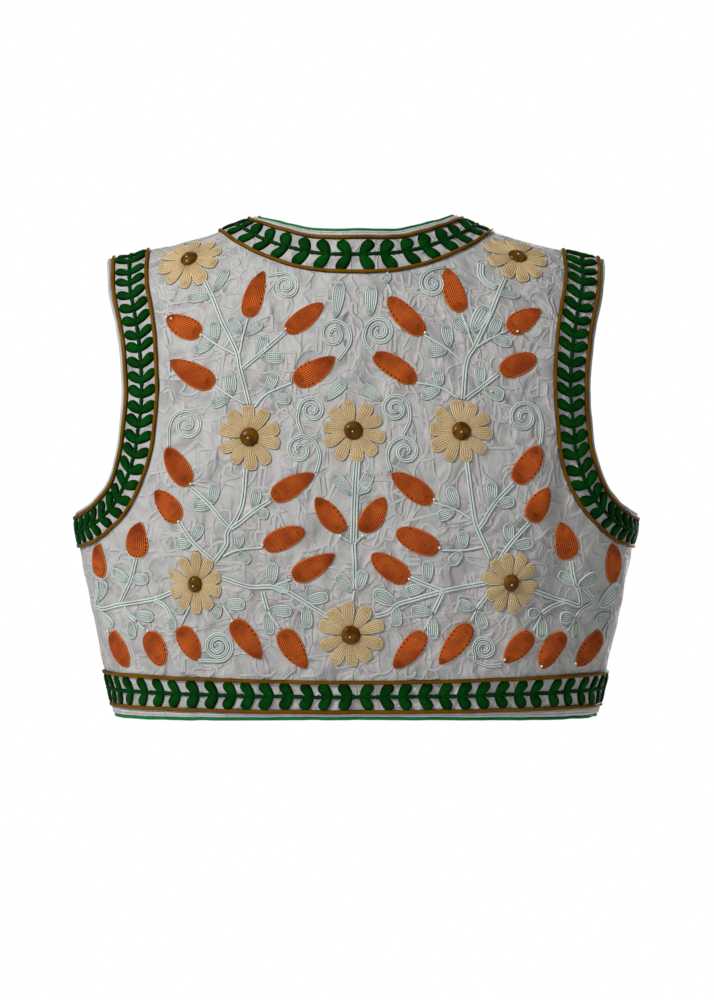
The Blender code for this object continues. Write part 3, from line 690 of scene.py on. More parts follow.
    def panel_loops(self, line: RunLine) -> dict[str, Spots]:
        """The loop of each panel, by its node's name, through one line of each of its runs."""
        front = self.front_loop(line)
        return {"back": self.back_loop(line), "front_right": front,
                "front_left": (front * [-1.0, 1.0])[::-1]}


# ---------------- mesh making


@dataclass(frozen=True)
class Lay:
    """A line laid over the cloth: its points and the outward normals there."""

    centres: Points
    normals: Points

    @staticmethod
    def over(figure: Figure, spots: Spots, out: float) -> Lay:
        """The line through spots, `out` millimetres proud of the cloth."""
        return Lay(figure.cloth(spots, out), figure.slopes(spots)[2])

    def reversed(self) -> Lay:
        """The same line the other way round."""
        return Lay(self.centres[::-1], self.normals[::-1])

    def even(self, step: float) -> Lay:
        """The same line with evenly spaced points."""
        rows = even(np.hstack([self.centres, self.normals]), way_along(self.centres), step)
        return Lay(rows[:, :3], rows[:, 3:] / np.linalg.norm(rows[:, 3:], axis=1)[:, None])


def closed_lay(stretches: Sequence[Lay]) -> Lay:
    """One closed line from stretches whose ends meet at the seams.

    Args:
        stretches: the stretches in order round the loop.

    Returns:
        The line, whose last point is its first.
    """
    rows: list[Numbers] = []
    for stretch in stretches:
        part = list(np.hstack([stretch.centres, stretch.normals]))
        if rows:
            rows[-1] = (rows[-1] + part[0]) / 2.0
            part = part[1:]
        rows += part
    rows[0] = rows[-1] = (rows[0] + rows[-1]) / 2.0
    whole = np.array(rows)
    return Lay(whole[:, :3], whole[:, 3:])


class Patchwork:
    """Mapped grids joined in one mesh, with a UV map."""

    def __init__(self) -> None:
        """Start an empty mesh."""
        self.bm = bmesh.new()
        self.uv = self.bm.loops.layers.uv.new("UVMap")

    def add(self, columns: int, rows: int, place: Placer) -> list[bmesh.types.BMVert]:
        """Add a grid and lay it where a function says.

        Args:
            columns: cells along u.
            rows: cells along v.
            place: turns u and v, each from 0 to 1, into points and UV marks.

        Returns:
            The grid's vertices.
        """
        made = bmesh.ops.create_grid(self.bm, x_segments=columns, y_segments=rows, size=0.5)
        verts = made["verts"]
        corner = np.array([vert.co.to_tuple() for vert in verts])[:, :2] + 0.5
        points, marks = place(corner[:, 0], corner[:, 1])
        mark_of = {}
        for vert, point, mark in zip(verts, points * METRE, marks):
            vert.co = point
            mark_of[vert] = mark
        for face in {face for vert in verts for face in vert.link_faces}:
            for loop in face.loops:
                loop[self.uv].uv = mark_of[loop.vert]
        return verts

    def ball(self, centre: Points, radius: float, subdivisions: int = 2) -> None:
        """Add a small ball at a point."""
        made = bmesh.ops.create_icosphere(self.bm, subdivisions=subdivisions, radius=radius * METRE)
        bmesh.ops.translate(self.bm, verts=made["verts"], vec=centre * METRE)

    def close(self) -> None:
        """Merge seams and poles, fill the undersides and turn every face outwards."""
        bmesh.ops.remove_doubles(self.bm, verts=self.bm.verts, dist=MERGE_M)
        bmesh.ops.holes_fill(self.bm, edges=[e for e in self.bm.edges if e.is_boundary], sides=0)
        bmesh.ops.recalc_face_normals(self.bm, faces=self.bm.faces)

    def piece(self, name: str, material: Material, slot: str, closed: bool = True) -> Piece:
        """Make the piece, smooth and riding on the garment.

        Args:
            name: the piece's name.
            material: its finish.
            slot: not used.
            closed: whether it is closed first.

        Returns:
            The new object.
        """
        if closed:
            self.close()
        mesh = bpy.data.meshes.new(name)
        self.bm.to_mesh(mesh)
        self.bm.free()
        mesh.shade_smooth()
        mesh.materials.append(material)
        made = bpy.data.objects.new(name, mesh)
        bpy.context.scene.collection.objects.link(made)
        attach(made, "root")
        LOG.info("%s: %d faces", name, len(mesh.polygons))
        return made


@dataclass(frozen=True)
class Cording:
    """A cord, thread or piping that is laid along a line."""

    width: float
    height: float
    sides: int = 8
    step: float = 2.0
    bulge: float = 0.0
    bulge_length: float = 6.0

    def add_to(self, patchwork: Patchwork, lay: Lay, closed: bool = False) -> None:
        """Lay it in a mesh along a line.

        Args:
            patchwork: the mesh.
            lay: the line through its middle.
            closed: whether the line is a loop; an open end is drawn in to a point.
        """
        lay = lay.even(self.step)
        count = len(lay.centres)
        tangent = np.gradient(lay.centres, axis=0)
        if closed:
            tangent[0] = tangent[-1] = tangent[0] + tangent[-1]
        side = np.cross(lay.normals, tangent)
        side /= np.linalg.norm(side, axis=1)[:, None]
        up = np.cross(tangent, side)
        up /= np.linalg.norm(up, axis=1)[:, None]
        way = way_along(lay.centres)
        full = self._swell(way)
        if not closed:
            full[0] = full[-1] = 0.0

        def place(u: Numbers, v: Numbers) -> Marked:
            """Points of the cord's skin."""
            i = np.rint(u * (count - 1)).astype(int)
            angle = 2.0 * math.pi * v
            across = self.width / 2.0 * np.cos(angle) * full[i]
            above = self.height / 2.0 * np.sin(angle) * full[i]
            points = lay.centres[i] + side[i] * across[:, None] + up[i] * above[:, None]
            return points, np.stack([way[i] / 10.0, v], axis=1)

        patchwork.add(count - 1, self.sides, place)

    def _swell(self, way: Numbers) -> Numbers:
        """How full the cord is along its way, in whole waves, so that a loop meets itself."""
        total = np.ones(len(way))
        for share, length in ((0.6, self.bulge_length), (0.4, self.bulge_length * 2.37)):
            waves = max(round(way[-1] / length), 1)
            turn = 2.0 * math.pi * waves * way / way[-1] + share * 9.0
            total += self.bulge * share * np.sin(turn)
        return total


@dataclass(frozen=True)
class Pad:
    """A padded shape filled with rows that follow its outline.

    Its outline runs from its stem to its tip. The powers say how round each end is:
    about 0.5 is round, and about 1 is pointed.
    """

    height: float
    rows: int
    row_depth: float
    stem_power: float
    tip_power: float
    columns: int = 28
    stitch: float = 1.7
    rim_lift: float = 0.0
    rings_per_row: int = 4
    crown_power: float = 2.4
    sink: float = 0.12

    def add_to(self, patchwork: Patchwork, figure: Figure, place_at: PlaceAt,
               axis: Numbers, width: float) -> None:
        """Lay it in a mesh.

        Args:
            patchwork: the mesh.
            figure: what it lies on.
            place_at: turns (along, left) millimetres into spots.
            axis: the (along, left) rows of its middle line, from stem to tip.
            width: its full width.
        """
        way = way_along(axis)
        best = self.stem_power / (self.stem_power + self.tip_power)
        peak = best**self.stem_power * (1.0 - best) ** self.tip_power
        reach = min(width / 2.0 / way[-1], 0.42)
        first = reach * 0.8 * min(1.0, 0.7 / self.stem_power)
        last = 1.0 - reach * 0.8 * min(1.0, 0.6 / self.tip_power)
        rim_length = 2.0 * way[-1] + width

        def place(u: Numbers, v: Numbers) -> Marked:
            """Points of the pad's skin: u goes round it and v from its rim to its middle.

            Args:
                u: the share of the way round.
                v: the share of the way in.

            Returns:
                The points and the UV marks.
            """
            angle = 2.0 * math.pi * u
            along = np.clip((1.0 - np.cos(angle)) / 2.0, 0.0, 1.0)
            half = width / 2.0 * along**self.stem_power * (1.0 - along) ** self.tip_power / peak
            half = half * np.sign(np.sin(angle)) * (np.abs(np.sin(angle)) > 1e-9)
            ahead = read_at(axis, way, np.minimum(along + 0.01, 1.0) * way[-1])
            behind = read_at(axis, way, np.maximum(along - 0.01, 0.0) * way[-1])
            line = ahead - behind
            line /= np.linalg.norm(line, axis=1)[:, None]
            normal = np.stack([-line[:, 1], line[:, 0]], axis=1)
            rim = read_at(axis, way, along * way[-1]) + normal * half[:, None]
            spine = read_at(axis, way, np.clip(along, first, last) * way[-1])
            flat = rim + (spine - rim) * v[:, None]
            crown = (1.0 - (1.0 - v) ** self.crown_power) ** 0.5
            row = 0.5 - 0.5 * np.cos(2.0 * math.pi * self.rows * v)
            lift = self.rim_lift * np.exp(-((v * self.rows - 0.5) / 0.4) ** 2)
            out = (self.height - self.row_depth) * crown + self.row_depth * row + lift - self.sink
            marks = np.stack([u * rim_length / self.stitch, v * self.rows], axis=1)
            return figure.cloth(place_at(flat), out), marks

        patchwork.add(self.columns, self.rings_per_row * self.rows, place)


# ---------------- finishes


class Term:
    """A value in a material's sums: it wraps a socket, and each operator adds a Math node."""

    def __init__(self, shader: Shader, socket: Socket) -> None:
        """Wrap a socket of a shader's tree."""
        self.shader = shader
        self.socket = socket

    def _sum(self, operation: str, *values: object) -> Term:
        """A Math node over this term and others."""
        node = self.shader.node("ShaderNodeMath", {"operation": operation}, dict(enumerate(values)))
        return Term(self.shader, node.outputs[0])

    def __add__(self, other: object) -> Term:
        """This plus another."""
        return self._sum("ADD", self, other)

    __radd__ = __add__

    def __sub__(self, other: object) -> Term:
        """This less another."""
        return self._sum("SUBTRACT", self, other)

    def __rsub__(self, other: object) -> Term:
        """Another less this."""
        return self._sum("SUBTRACT", other, self)

    def __mul__(self, other: object) -> Term:
        """This times another."""
        return self._sum("MULTIPLY", self, other)

    __rmul__ = __mul__

    def __truediv__(self, other: object) -> Term:
        """This over another."""
        return self._sum("DIVIDE", self, other)

    def __pow__(self, other: object) -> Term:
        """This to a power."""
        return self._sum("POWER", self, other)

    def __abs__(self) -> Term:
        """This without its sign."""
        return self._sum("ABSOLUTE", self)

    def sine(self) -> Term:
        """The sine of this."""
        return self._sum("SINE", self)

    def part(self) -> Term:
        """What is left of this over a whole number."""
        return self._sum("FRACT", self)

    def ramp(self, low: float, high: float) -> Term:
        """This turned smoothly from 0 at low to 1 at high; high may be the smaller."""
        node = self.shader.node(
            "ShaderNodeMapRange", {"interpolation_type": "SMOOTHSTEP"},
            {"Value": self, "From Min": low, "From Max": high},
        )
        return Term(self.shader, node.outputs[0])


class Shader:
    """A material in the making."""

    def __init__(self, name: str, roughness: float, gloss: float = 0.2, sheen: float = 0.0) -> None:
        """Start a material with one Principled shader.

        Args:
            name: its name.
            roughness: its roughness.
            gloss: its specular level.
            sheen: its sheen's weight.
        """
        self.material = bpy.data.materials.new(name)
        self.material.use_nodes = True
        self.tree = self.material.node_tree
        self.main = self.tree.nodes["Principled BSDF"]
        self.main.inputs["Roughness"].default_value = roughness
        self.main.inputs["Specular IOR Level"].default_value = gloss
        self.main.inputs["Sheen Weight"].default_value = sheen
        self.main.inputs["Sheen Roughness"].default_value = 0.4

    def node(self, kind: str, settings: dict[str, object] | None = None,
             inputs: dict[int | str, object] | None = None) -> bpy.types.Node:
        """Add a node.

        Args:
            kind: the node's type.
            settings: its own settings, which are set first.
            inputs: values, terms or sockets for its inputs.

        Returns:
            The node.
        """
        made = self.tree.nodes.new(kind)
        for name, value in (settings or {}).items():
            setattr(made, name, value)
        for name, value in (inputs or {}).items():
            if isinstance(value, Term):
                value = value.socket
            if isinstance(value, Socket):
                self.tree.links.new(value, made.inputs[name])
            else:
                made.inputs[name].default_value = value
        return made

    def object_space(self) -> Socket:
        """The piece's own coordinates, in metres."""
        return self.node("ShaderNodeTexCoord").outputs["Object"]

    def marks(self) -> tuple[Term, Term, Socket]:
        """The two numbers of the piece's UV map, and the map itself."""
        whole = self.node("ShaderNodeUVMap", {"uv_map": "UVMap"}).outputs[0]
        split = self.node("ShaderNodeSeparateXYZ", inputs={0: whole})
        return Term(self, split.outputs[0]), Term(self, split.outputs[1]), whole

    def noise(self, where: Socket, scale: float, detail: float = 2.0) -> Term:
        """Soft noise about 0.5."""
        made = self.node("ShaderNodeTexNoise",
                         inputs={"Vector": where, "Scale": scale, "Detail": detail})
        return Term(self, made.outputs[0])

    def blend(self, factor: Term, start: object, end: object) -> Socket:
        """A colour mixed from two by a factor."""
        start, end = [(*c, 1.0) if isinstance(c, tuple) else c for c in (start, end)]
        node = self.node("ShaderNodeMix", {"data_type": "RGBA"}, {0: factor, 6: start, 7: end})
        return node.outputs[2]

    def bump(self, height: Term, distance: float, strength: float = 1.0) -> None:
        """Raise the surface by a height, on a scale in metres."""
        node = self.node("ShaderNodeBump", {}, {
            "Height": height, "Distance": distance, "Strength": strength})
        self.tree.links.new(node.outputs[0], self.main.inputs["Normal"])

    def colour(self, socket: Socket) -> None:
        """Feed the base colour."""
        self.tree.links.new(socket, self.main.inputs["Base Color"])

    def rough(self, term: Term) -> None:
        """Feed the roughness."""
        self.tree.links.new(term.socket, self.main.inputs["Roughness"])


@dataclass(frozen=True)
class GroundFinish:
    """Light grey-lilac cloth with faint creased lines and painted shade in its dents."""

    name: str = "ground_cloth"
    base: Colour = (0.338, 0.332, 0.323)
    shade: Colour = (0.222, 0.220, 0.214)
    # The line colour is the painted highlight of the raised crease lines.
    line: Colour = (0.365, 0.360, 0.350)
    gloss: float = 0.25
    sheen: float = 0.06
    net_scale: float = 5.0
    line_width: float = 0.030
    weave_pitch: float = 0.75

    def material(self) -> Material:
        """Build it. The UV map is in decimetres.

        Returns:
            The material.
        """
        shader = Shader(self.name, 0.6, self.gloss, self.sheen)
        across, up, where = shader.marks()
        warp = shader.node("ShaderNodeTexNoise", {}, {"Vector": where, "Scale": 3.5, "Detail": 1.0})
        push = shader.node("ShaderNodeVectorMath", {"operation": "SCALE"},
                           {0: warp.outputs[1], "Scale": 0.35})
        moved = shader.node("ShaderNodeVectorMath", {"operation": "ADD"},
                            {0: where, 1: push.outputs[0]})
        lines = self._lines(shader, moved.outputs[0])
        turn = 2.0 * math.pi * 100.0 / self.weave_pitch
        weave = (across * turn).sine() * (up * turn).sine()
        soft = shader.noise(moved.outputs[0], 5.5, 1.0)
        drawn = shader.node("ShaderNodeVectorMath", {"operation": "MULTIPLY"},
                            {0: moved.outputs[0], 1: (1.0, 0.35, 1.0)})
        streak = shader.noise(drawn.outputs[0], 24.0, 2.0)
        # Painted shade: the cloth's colour darkens towards the shade colour where the soft dents
        # and the streaks of the bump sink, as shade falls in its crumples.
        uneven = soft.ramp(0.28, 0.60) * 0.65 + streak.ramp(0.25, 0.6) * 0.35
        tone = shader.blend(uneven, self.shade, self.base)
        # Painted highlight: the raised crease lines are lightened towards the line colour.
        shader.colour(shader.blend(lines * 0.5, tone, self.line))
        shader.rough(0.66 - lines * 0.14 - soft * 0.12)
        shader.bump(lines * 0.6 + soft * 8.0 + streak * 1.2 + weave * 0.05, 0.0009, 1.0)
        return shader.material

    def _lines(self, shader: Shader, where: Socket) -> Term:
        """A net of thin lines between uneven square cells."""
        cells = shader.node("ShaderNodeTexVoronoi", {"feature": "DISTANCE_TO_EDGE"},
                            {"Vector": where, "Scale": self.net_scale, "Randomness": 0.75})
        return Term(shader, cells.outputs[0]).ramp(self.line_width * 2.2, self.line_width * 0.3)


@dataclass(frozen=True)
class StitchFinish:
    """Rows of chain stitch in one thread. The UV map counts stitches and rows."""

    name: str
    thread: Colour
    shade: Colour
    # gap: the painted shade in the grooves between rows and between links.
    gap: Colour
    rim: Colour
    links: float = 0.3
    outline: float = 0.8
    pits: float = 0.0
    roughness: float = 0.6
    gloss: float = 0.15
    bump: float = 0.0005

    def material(self) -> Material:
        """Build it.

        Returns:
            The material.
        """
        shader = Shader(self.name, self.roughness, self.gloss)
        along, row, _ = shader.marks()
        where = shader.object_space()
        aside = abs(row.part() - 0.5)
        link = abs((along + aside * 0.9).part() - 0.5) * 2.0
        ridge = 1.0 - (aside * 2.0) ** 2.0
        patch = shader.noise(where, 55.0, 2.0)
        speck = shader.noise(where, 900.0, 1.0)
        tone = shader.blend(patch.ramp(0.3, 0.7), self.shade, self.thread)
        edged = shader.blend(row.ramp(1.2, 0.8) * self.outline, tone, self.rim)
        # Painted shade: the gap colour darkens the grooves between rows and between links, where
        # the bump sinks; specks and pits add small dark marks.
        groove_shade_and_specks = (1.0 - ridge) * 1.0 + (1.0 - link) * self.links + (speck - 0.5) * 0.5
        if self.pits:
            dot = abs((along * 0.4).part() - 0.5).ramp(0.28, 0.16) * abs(row - 1.0).ramp(0.60, 0.35)
            groove_shade_and_specks = groove_shade_and_specks + dot * patch.ramp(0.48, 0.56) * self.pits
        shader.colour(shader.blend(groove_shade_and_specks.ramp(0.25, 1.05), edged, self.gap))
        shader.bump(ridge * 0.7 + link * 0.5 + speck * 0.3, self.bump)
        return shader.material


@dataclass(frozen=True)
class PaddedFinish:
    """Close satin padding in one thread, with painted shade towards its rim and between its
    strands.
    """

    name: str
    thread: Colour
    shade: Colour
    roughness: float = 0.6
    gloss: float = 0.12
    bump: float = 0.0003

    def material(self) -> Material:
        """Build it. The UV map's second number runs from the rim to the middle.

        Returns:
            The material.
        """
        shader = Shader(self.name, self.roughness, self.gloss)
        along, row, _ = shader.marks()
        patch = shader.noise(shader.object_space(), 90.0, 3.0)
        grain = shader.noise(shader.object_space(), 1400.0, 2.0)
        strands = (along * 2.0 * math.pi * 1.2).sine() * 0.3
        # Painted shade: darker towards the rim, where the pad falls to the cloth, and in the
        # troughs between its strands; the patches and grain are uneven thread.
        face = row.ramp(0.05, 0.6) * 0.55 + patch.ramp(0.38, 0.66) * 0.55
        face = face + (grain - 0.5) * 0.5 + strands * 0.3
        shader.colour(shader.blend(face, self.shade, self.thread))
        shader.bump(grain + strands * 1.5 + patch * 1.2, self.bump)
        return shader.material


@dataclass(frozen=True)
class CordFinish:
    """Laid cord. The UV map runs along it in centimetres, and round it from one side."""

    name: str
    thread: Colour
    shade: Colour
    roughness: float = 0.5
    gloss: float = 0.2
    twist_length: float = 3.0
    twist: float = 0.3
    bump: float = 0.0002

    def material(self) -> Material:
        """Build it, with a painted highlight along its top, and painted shade down both sides and
        in the grooves of its twist.

        Returns:
            The material.
        """
        shader = Shader(self.name, self.roughness, self.gloss)
        along, around, _ = shader.marks()
        strand = abs((along * 10.0 / self.twist_length + around * 2.0).part() - 0.5) * 2.0
        crest_light_and_side_shade = (around * 2.0 * math.pi).sine()
        patch = shader.noise(shader.object_space(), 70.0, 3.0)
        grain = shader.noise(shader.object_space(), 1500.0, 1.0)
        # Painted light: lighter along the top of the cord, darker down its sides and in the twist's
        # grooves where the bump sinks.
        face = strand * self.twist + crest_light_and_side_shade * 0.6 + patch.ramp(0.3, 0.7) * 0.3 + grain * 0.25
        shader.colour(shader.blend(face.ramp(0.15, 1.05), self.shade, self.thread))
        shader.bump(strand * self.twist * 2.0 + grain * 0.4, self.bump)
        return shader.material


@dataclass(frozen=True)
class BandFinish:
    """The pale band along an edge, pieced with short seams. The UV map is in centimetres."""

    name: str = "edge_band"
    base: Colour = (0.43, 0.425, 0.42)
    shade: Colour = (0.33, 0.325, 0.32)
    seam: Colour = (0.13, 0.14, 0.135)

    def material(self) -> Material:
        """Build it.

        Returns:
            The material.
        """
        shader = Shader(self.name, 0.6, 0.2)
        along, across, where = shader.marks()
        soft = shader.noise(where, 1.1, 2.0)
        cells = shader.node("ShaderNodeTexBrick", {
            "offset": 0.37, "squash_frequency": 3, "squash": 0.6}, {
            "Vector": where, "Scale": 1.0, "Mortar Size": 0.020, "Mortar Smooth": 0.6,
            "Brick Width": 1.7, "Row Height": 0.17})
        seams = Term(shader, cells.outputs[1])
        tone = shader.blend(soft.ramp(0.3, 0.7), self.shade, self.base)
        shader.colour(shader.blend(seams * soft.ramp(0.3, 0.55), tone, self.seam))
        shader.bump(soft * 0.8 - seams, 0.0006)
        return shader.material


@dataclass(frozen=True)
class GlossFinish:
    """A hard glossy bead or button."""

    name: str
    base: Colour
    shade: Colour
    roughness: float
    coat: float
    gloss: float

    def material(self) -> Material:
        """Build it.

        Returns:
            The material.
        """
        shader = Shader(self.name, self.roughness, self.gloss)
        shader.main.inputs["Coat Weight"].default_value = self.coat
        shader.main.inputs["Coat Roughness"].default_value = 0.18
        patch = shader.noise(shader.object_space(), 160.0, 2.0)
        shader.colour(shader.blend(patch.ramp(0.3, 0.7), self.shade, self.base))
        shader.bump(patch, 0.0001, 0.4)
        return shader.material


GREEN_LEAF = PaddedFinish("leaf_green", (0.0006, 0.042, 0.0026), (0.0002, 0.005, 0.0005), 0.5, 0.02)
GREEN_STEM = CordFinish(
    "leaf_stem_green", (0.0006, 0.027, 0.0020), (0.0002, 0.005, 0.0005), 0.55, 0.02)
GREEN_PIPING = CordFinish(
    "green_piping", (0.0015, 0.130, 0.030), (0.0006, 0.022, 0.005), 0.55, 0.05)
BROWN_CORD = CordFinish(
    "brown_cord", (0.116, 0.050, 0.0006), (0.014, 0.006, 0.0002), 0.45, 0.03, 4.0, 0.06)
MINT_CORD = CordFinish("stem_mint", (0.415, 0.468, 0.438), (0.125, 0.155, 0.140), 0.55, 0.15, 2.2)
GROUND_CORD = CordFinish(
    "ground_thread", (0.342, 0.337, 0.328), (0.215, 0.213, 0.207), 0.6, 0.15, 2.4, 0.1)
# The third colour of each stitch finish is its painted groove shade.
MINT_FILL = StitchFinish(
    "mint_filling", (0.460, 0.515, 0.485), (0.375, 0.425, 0.398), (0.190, 0.224, 0.206),
    (0.540, 0.598, 0.566), links=0.55)
ORANGE = StitchFinish(
    "teardrop_orange", (0.52, 0.104, 0.014), (0.28, 0.047, 0.006), (0.09, 0.011, 0.002),
    (0.60, 0.155, 0.030), links=0.3, outline=0.6, pits=0.9, gloss=0.08)
TAN = StitchFinish(
    "petal_tan", (0.52, 0.395, 0.222), (0.40, 0.290, 0.148), (0.30, 0.212, 0.108),
    (0.540, 0.418, 0.245), links=0.7, outline=0.6, gloss=0.08, bump=0.0003)
BUTTON = GlossFinish(
    "button_brown", (0.110, 0.044, 0.0006), (0.045, 0.016, 0.0003), 0.30, 0.06, 0.06)
SEED = GlossFinish("seed_bead", (0.66, 0.64, 0.56), (0.54, 0.51, 0.43), 0.2, 0.4, 0.3)


# ---------------- sub-assemblies


@dataclass
class ClothPanels:
    """The back and the two fronts, each a thin shell on its solid's form."""

    figure: Figure
    cutting: Cutting
    cell: float = 2.6
    wall: float = 1.8
    merge: float = 0.25

    def build(self) -> dict[str, Piece]:
        """Make the three panels.

        Returns:
            Each panel by its node's name.
        """
        finish = GroundFinish().material()
        loops = self.cutting.panel_loops(self.cutting.rim)
        return {node: self._panel(node, loop, finish) for node, loop in loops.items()}

    def _panel(self, node: str, loop: Spots, finish: Material) -> Piece:
        """One panel: a grid cut to its loop, laid on the figure and given its wall.

        Args:
            node: the node that it stands for.
            loop: its cut edge.
            finish: its cloth.

        Returns:
            The piece.
        """
        patchwork = Patchwork()
        low, high = loop.min(axis=0), loop.max(axis=0)
        columns, rows = (int(round(size / self.cell)) for size in high - low)

        def flat(u: Numbers, v: Numbers) -> Marked:
            """The uncut cloth, flat, in spots."""
            spots = low + (high - low) * np.stack([u, v], axis=1)
            return np.hstack([spots, np.zeros((len(spots), 1))]), spots / 100.0

        verts = patchwork.add(columns, rows, flat)
        spots = np.array([vert.co.to_tuple() for vert in verts])[:, :2] / METRE
        kept = inside(loop, spots)
        bm = patchwork.bm
        bmesh.ops.delete(bm, geom=[v for v, keep in zip(verts, kept) if not keep], context="VERTS")
        self._snap(bm, loop)
        bmesh.ops.remove_doubles(bm, verts=bm.verts, dist=self.merge * METRE)
        spots = np.array([vert.co.to_tuple() for vert in bm.verts])[:, :2] / METRE
        for vert, point in zip(bm.verts, self.figure.cloth(spots) * METRE):
            vert.co = point
        made = patchwork.piece(f"{node}_cloth", finish, "ground_cloth", False)
        shell = made.modifiers.new("wall", "SOLIDIFY")
        shell.thickness = self.wall * METRE
        shell.offset = -1.0
        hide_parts(node)
        return made

    @staticmethod
    def _snap(bm: bmesh.types.BMesh, loop: Spots) -> None:
        """Move the cut grid's outer vertices onto the loop.

        Args:
            bm: the grid, flat.
            loop: the loop.
        """
        starts, ends = loop, np.roll(loop, -1, axis=0)
        line = ends - starts
        size = np.maximum((line**2).sum(1), 1e-9)
        for vert in [v for v in bm.verts if v.is_boundary]:
            spot = np.array(vert.co.to_tuple()[:2]) / METRE
            part = np.clip(((spot - starts) * line).sum(1) / size, 0.0, 1.0)
            near = starts + part[:, None] * line
            best = int(((near - spot) ** 2).sum(1).argmin())
            vert.co = (*(near[best] * METRE), 0.0)

    def flat_sizes(self) -> dict[str, Triple]:
        """Each panel's cut as width, length and area, in metres.

        Returns:
            The sizes by node.
        """
        sizes = {}
        for node, loop in self.cutting.panel_loops(self.cutting.rim).items():
            width, length = (loop.max(axis=0) - loop.min(axis=0)) * METRE
            x, y = loop[:, 0], loop[:, 1]
            area = abs(np.dot(x, np.roll(y, -1)) - np.dot(y, np.roll(x, -1))) / 2.0 * METRE**2
            sizes[node] = (float(width), float(length), float(area))
        return sizes


@dataclass
class EdgeTrims:
    """Piping, couched cords, the vine's stem and the pieced band, all round each edge."""

    figure: Figure
    cutting: Cutting
    cord: Cording = Cording(3.1, 2.5, 12, 1.6, 0.05, 21.0)
    piping_cord: Cording = Cording(2.5, 2.5, 10, 2.0, 0.06, 17.0)
    stem: Cording = Cording(3.1, 2.3, 8, 0.9, 0.17, 4.4)
    cord_lift: float = 1.0
    piping_lift: float = -1.0
    stem_lift: float = 0.55
    band_profile: tuple[float, ...] = (0.0, 0.55, 0.62, 0.5, 0.62, 0.55, 0.0)
    band_step: float = 2.5

    def build(self) -> list[Piece]:
        """Make every trim.

        Returns:
            The pieces.
        """
        brown = (BROWN_CORD.material(), "brown_cord")
        stem_green = (GREEN_STEM.material(), "leaf_green")
        green = (GREEN_PIPING.material(), "green_piping")
        pale = (GROUND_CORD.material(), "ground_cloth")
        band = BandFinish().material()
        cutting, made = self.cutting, []
        for place in ("edge", "armhole_left", "armhole_right"):
            prefix, _, hand = place.partition("_")
            tail = f"_{hand}" if hand else ""
            for word, line in (("outer", cutting.outer_cord), ("inner", cutting.inner_cord)):
                loop = self.loop(place, line, self.cord_lift)
                node = f"{prefix}_cord_{word}{tail}"
                made.append(self._laid(f"{node}_twisted", loop, self.cord, brown, node))
            node = f"{prefix}_piping{tail}"
            loop = self.loop(place, cutting.piping_line, self.piping_lift)
            dress = green if place == "edge" else pale
            made.append(self._laid(f"{node}_covered", loop, self.piping_cord, dress, node))
            loop = self.loop(place, lambda run: cutting.vine(run)[0], self.stem_lift)
            made.append(self._laid(f"{place}_vine_stem", loop, self.stem, stem_green))
            made.append(self._band(place, band))
        return made

    def loop(self, place: str, line: RunLine, out: float) -> Lay:
        """A closed line round the garment's edge or one armhole.

        Args:
            place: "edge", "armhole_left" or "armhole_right".
            line: gives a run's line.
            out: how far proud of the cloth it lies.

        Returns:
            The closed line.
        """
        cutting = self.cutting

        def lay(run: Run, sign: float) -> Lay:
            """A run's line, on the right for 1 and on the left for -1."""
            return Lay.over(self.figure, line(run) * [sign, 1.0], out)

        if place == "edge":
            right = [lay(run, 1.0) for run in (cutting.neck, cutting.opening, cutting.hem)]
            left = [lay(run, -1.0) for run in (cutting.hem, cutting.opening, cutting.neck)]
            return closed_lay([right[0], right[1], right[2].reversed(), left[0],
                               left[1].reversed(), left[2].reversed()])
        sign = 1.0 if place.endswith("right") else -1.0
        front, back = (lay(cutting.holes[face], sign) for face in (Face.FRONT, Face.BACK))
        return closed_lay([front, back.reversed()])

    @staticmethod
    def _laid(name: str, loop: Lay, cording: Cording, dress: tuple[Material, str],
              node: str = "") -> Piece:
        """A cording in its finish round a closed loop, for a node where it has one."""
        patchwork = Patchwork()
        cording.add_to(patchwork, loop, closed=True)
        piece = patchwork.piece(name, *dress)
        if node:
            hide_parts(node)
        return piece

    def _band(self, place: str, finish: Material) -> Piece:
        """The pieced band between the piping and the outer cord.

        Args:
            place: the edge or armhole.
            finish: its finish.

        Returns:
            The piece.
        """
        rows = len(self.band_profile) - 1
        lines = [self.loop(place, lambda run: self.cutting.band_line(run, row / rows), out).centres
                 for row, out in enumerate(self.band_profile)]
        ways = [way_along(line) for line in lines]
        length = ways[0][-1]
        count = int(length / self.band_step)
        grid = np.array([read_at(line, way / way[-1], np.linspace(0.0, 1.0, count + 1))
                         for line, way in zip(lines, ways)])

        def placer(u: Numbers, v: Numbers) -> Marked:
            """Points of the band's face."""
            i, j = np.rint(u * count).astype(int), np.rint(v * rows).astype(int)
            return grid[j, i], np.stack([u * length / 10.0, v * 0.5], axis=1)

        patchwork = Patchwork()
        patchwork.add(count, rows, placer)
        bmesh.ops.remove_doubles(patchwork.bm, verts=patchwork.bm.verts, dist=MERGE_M)
        return patchwork.piece(f"{place}_band", finish, "ground_cloth", False)


@dataclass(frozen=True)
class Heart:
    """A heart-shaped pair of leaves on a vine, in millimetres.

    Each leaf starts at the heart's point, and `ahead` is how far its tip lies ahead of that.
    `breadth` is its width over the hearts' pitch. `first` is where a run's first point lies,
    and `room` what is left after its last one.
    """

    breadth: float
    ahead: float
    room: float
    first: float = 2.8


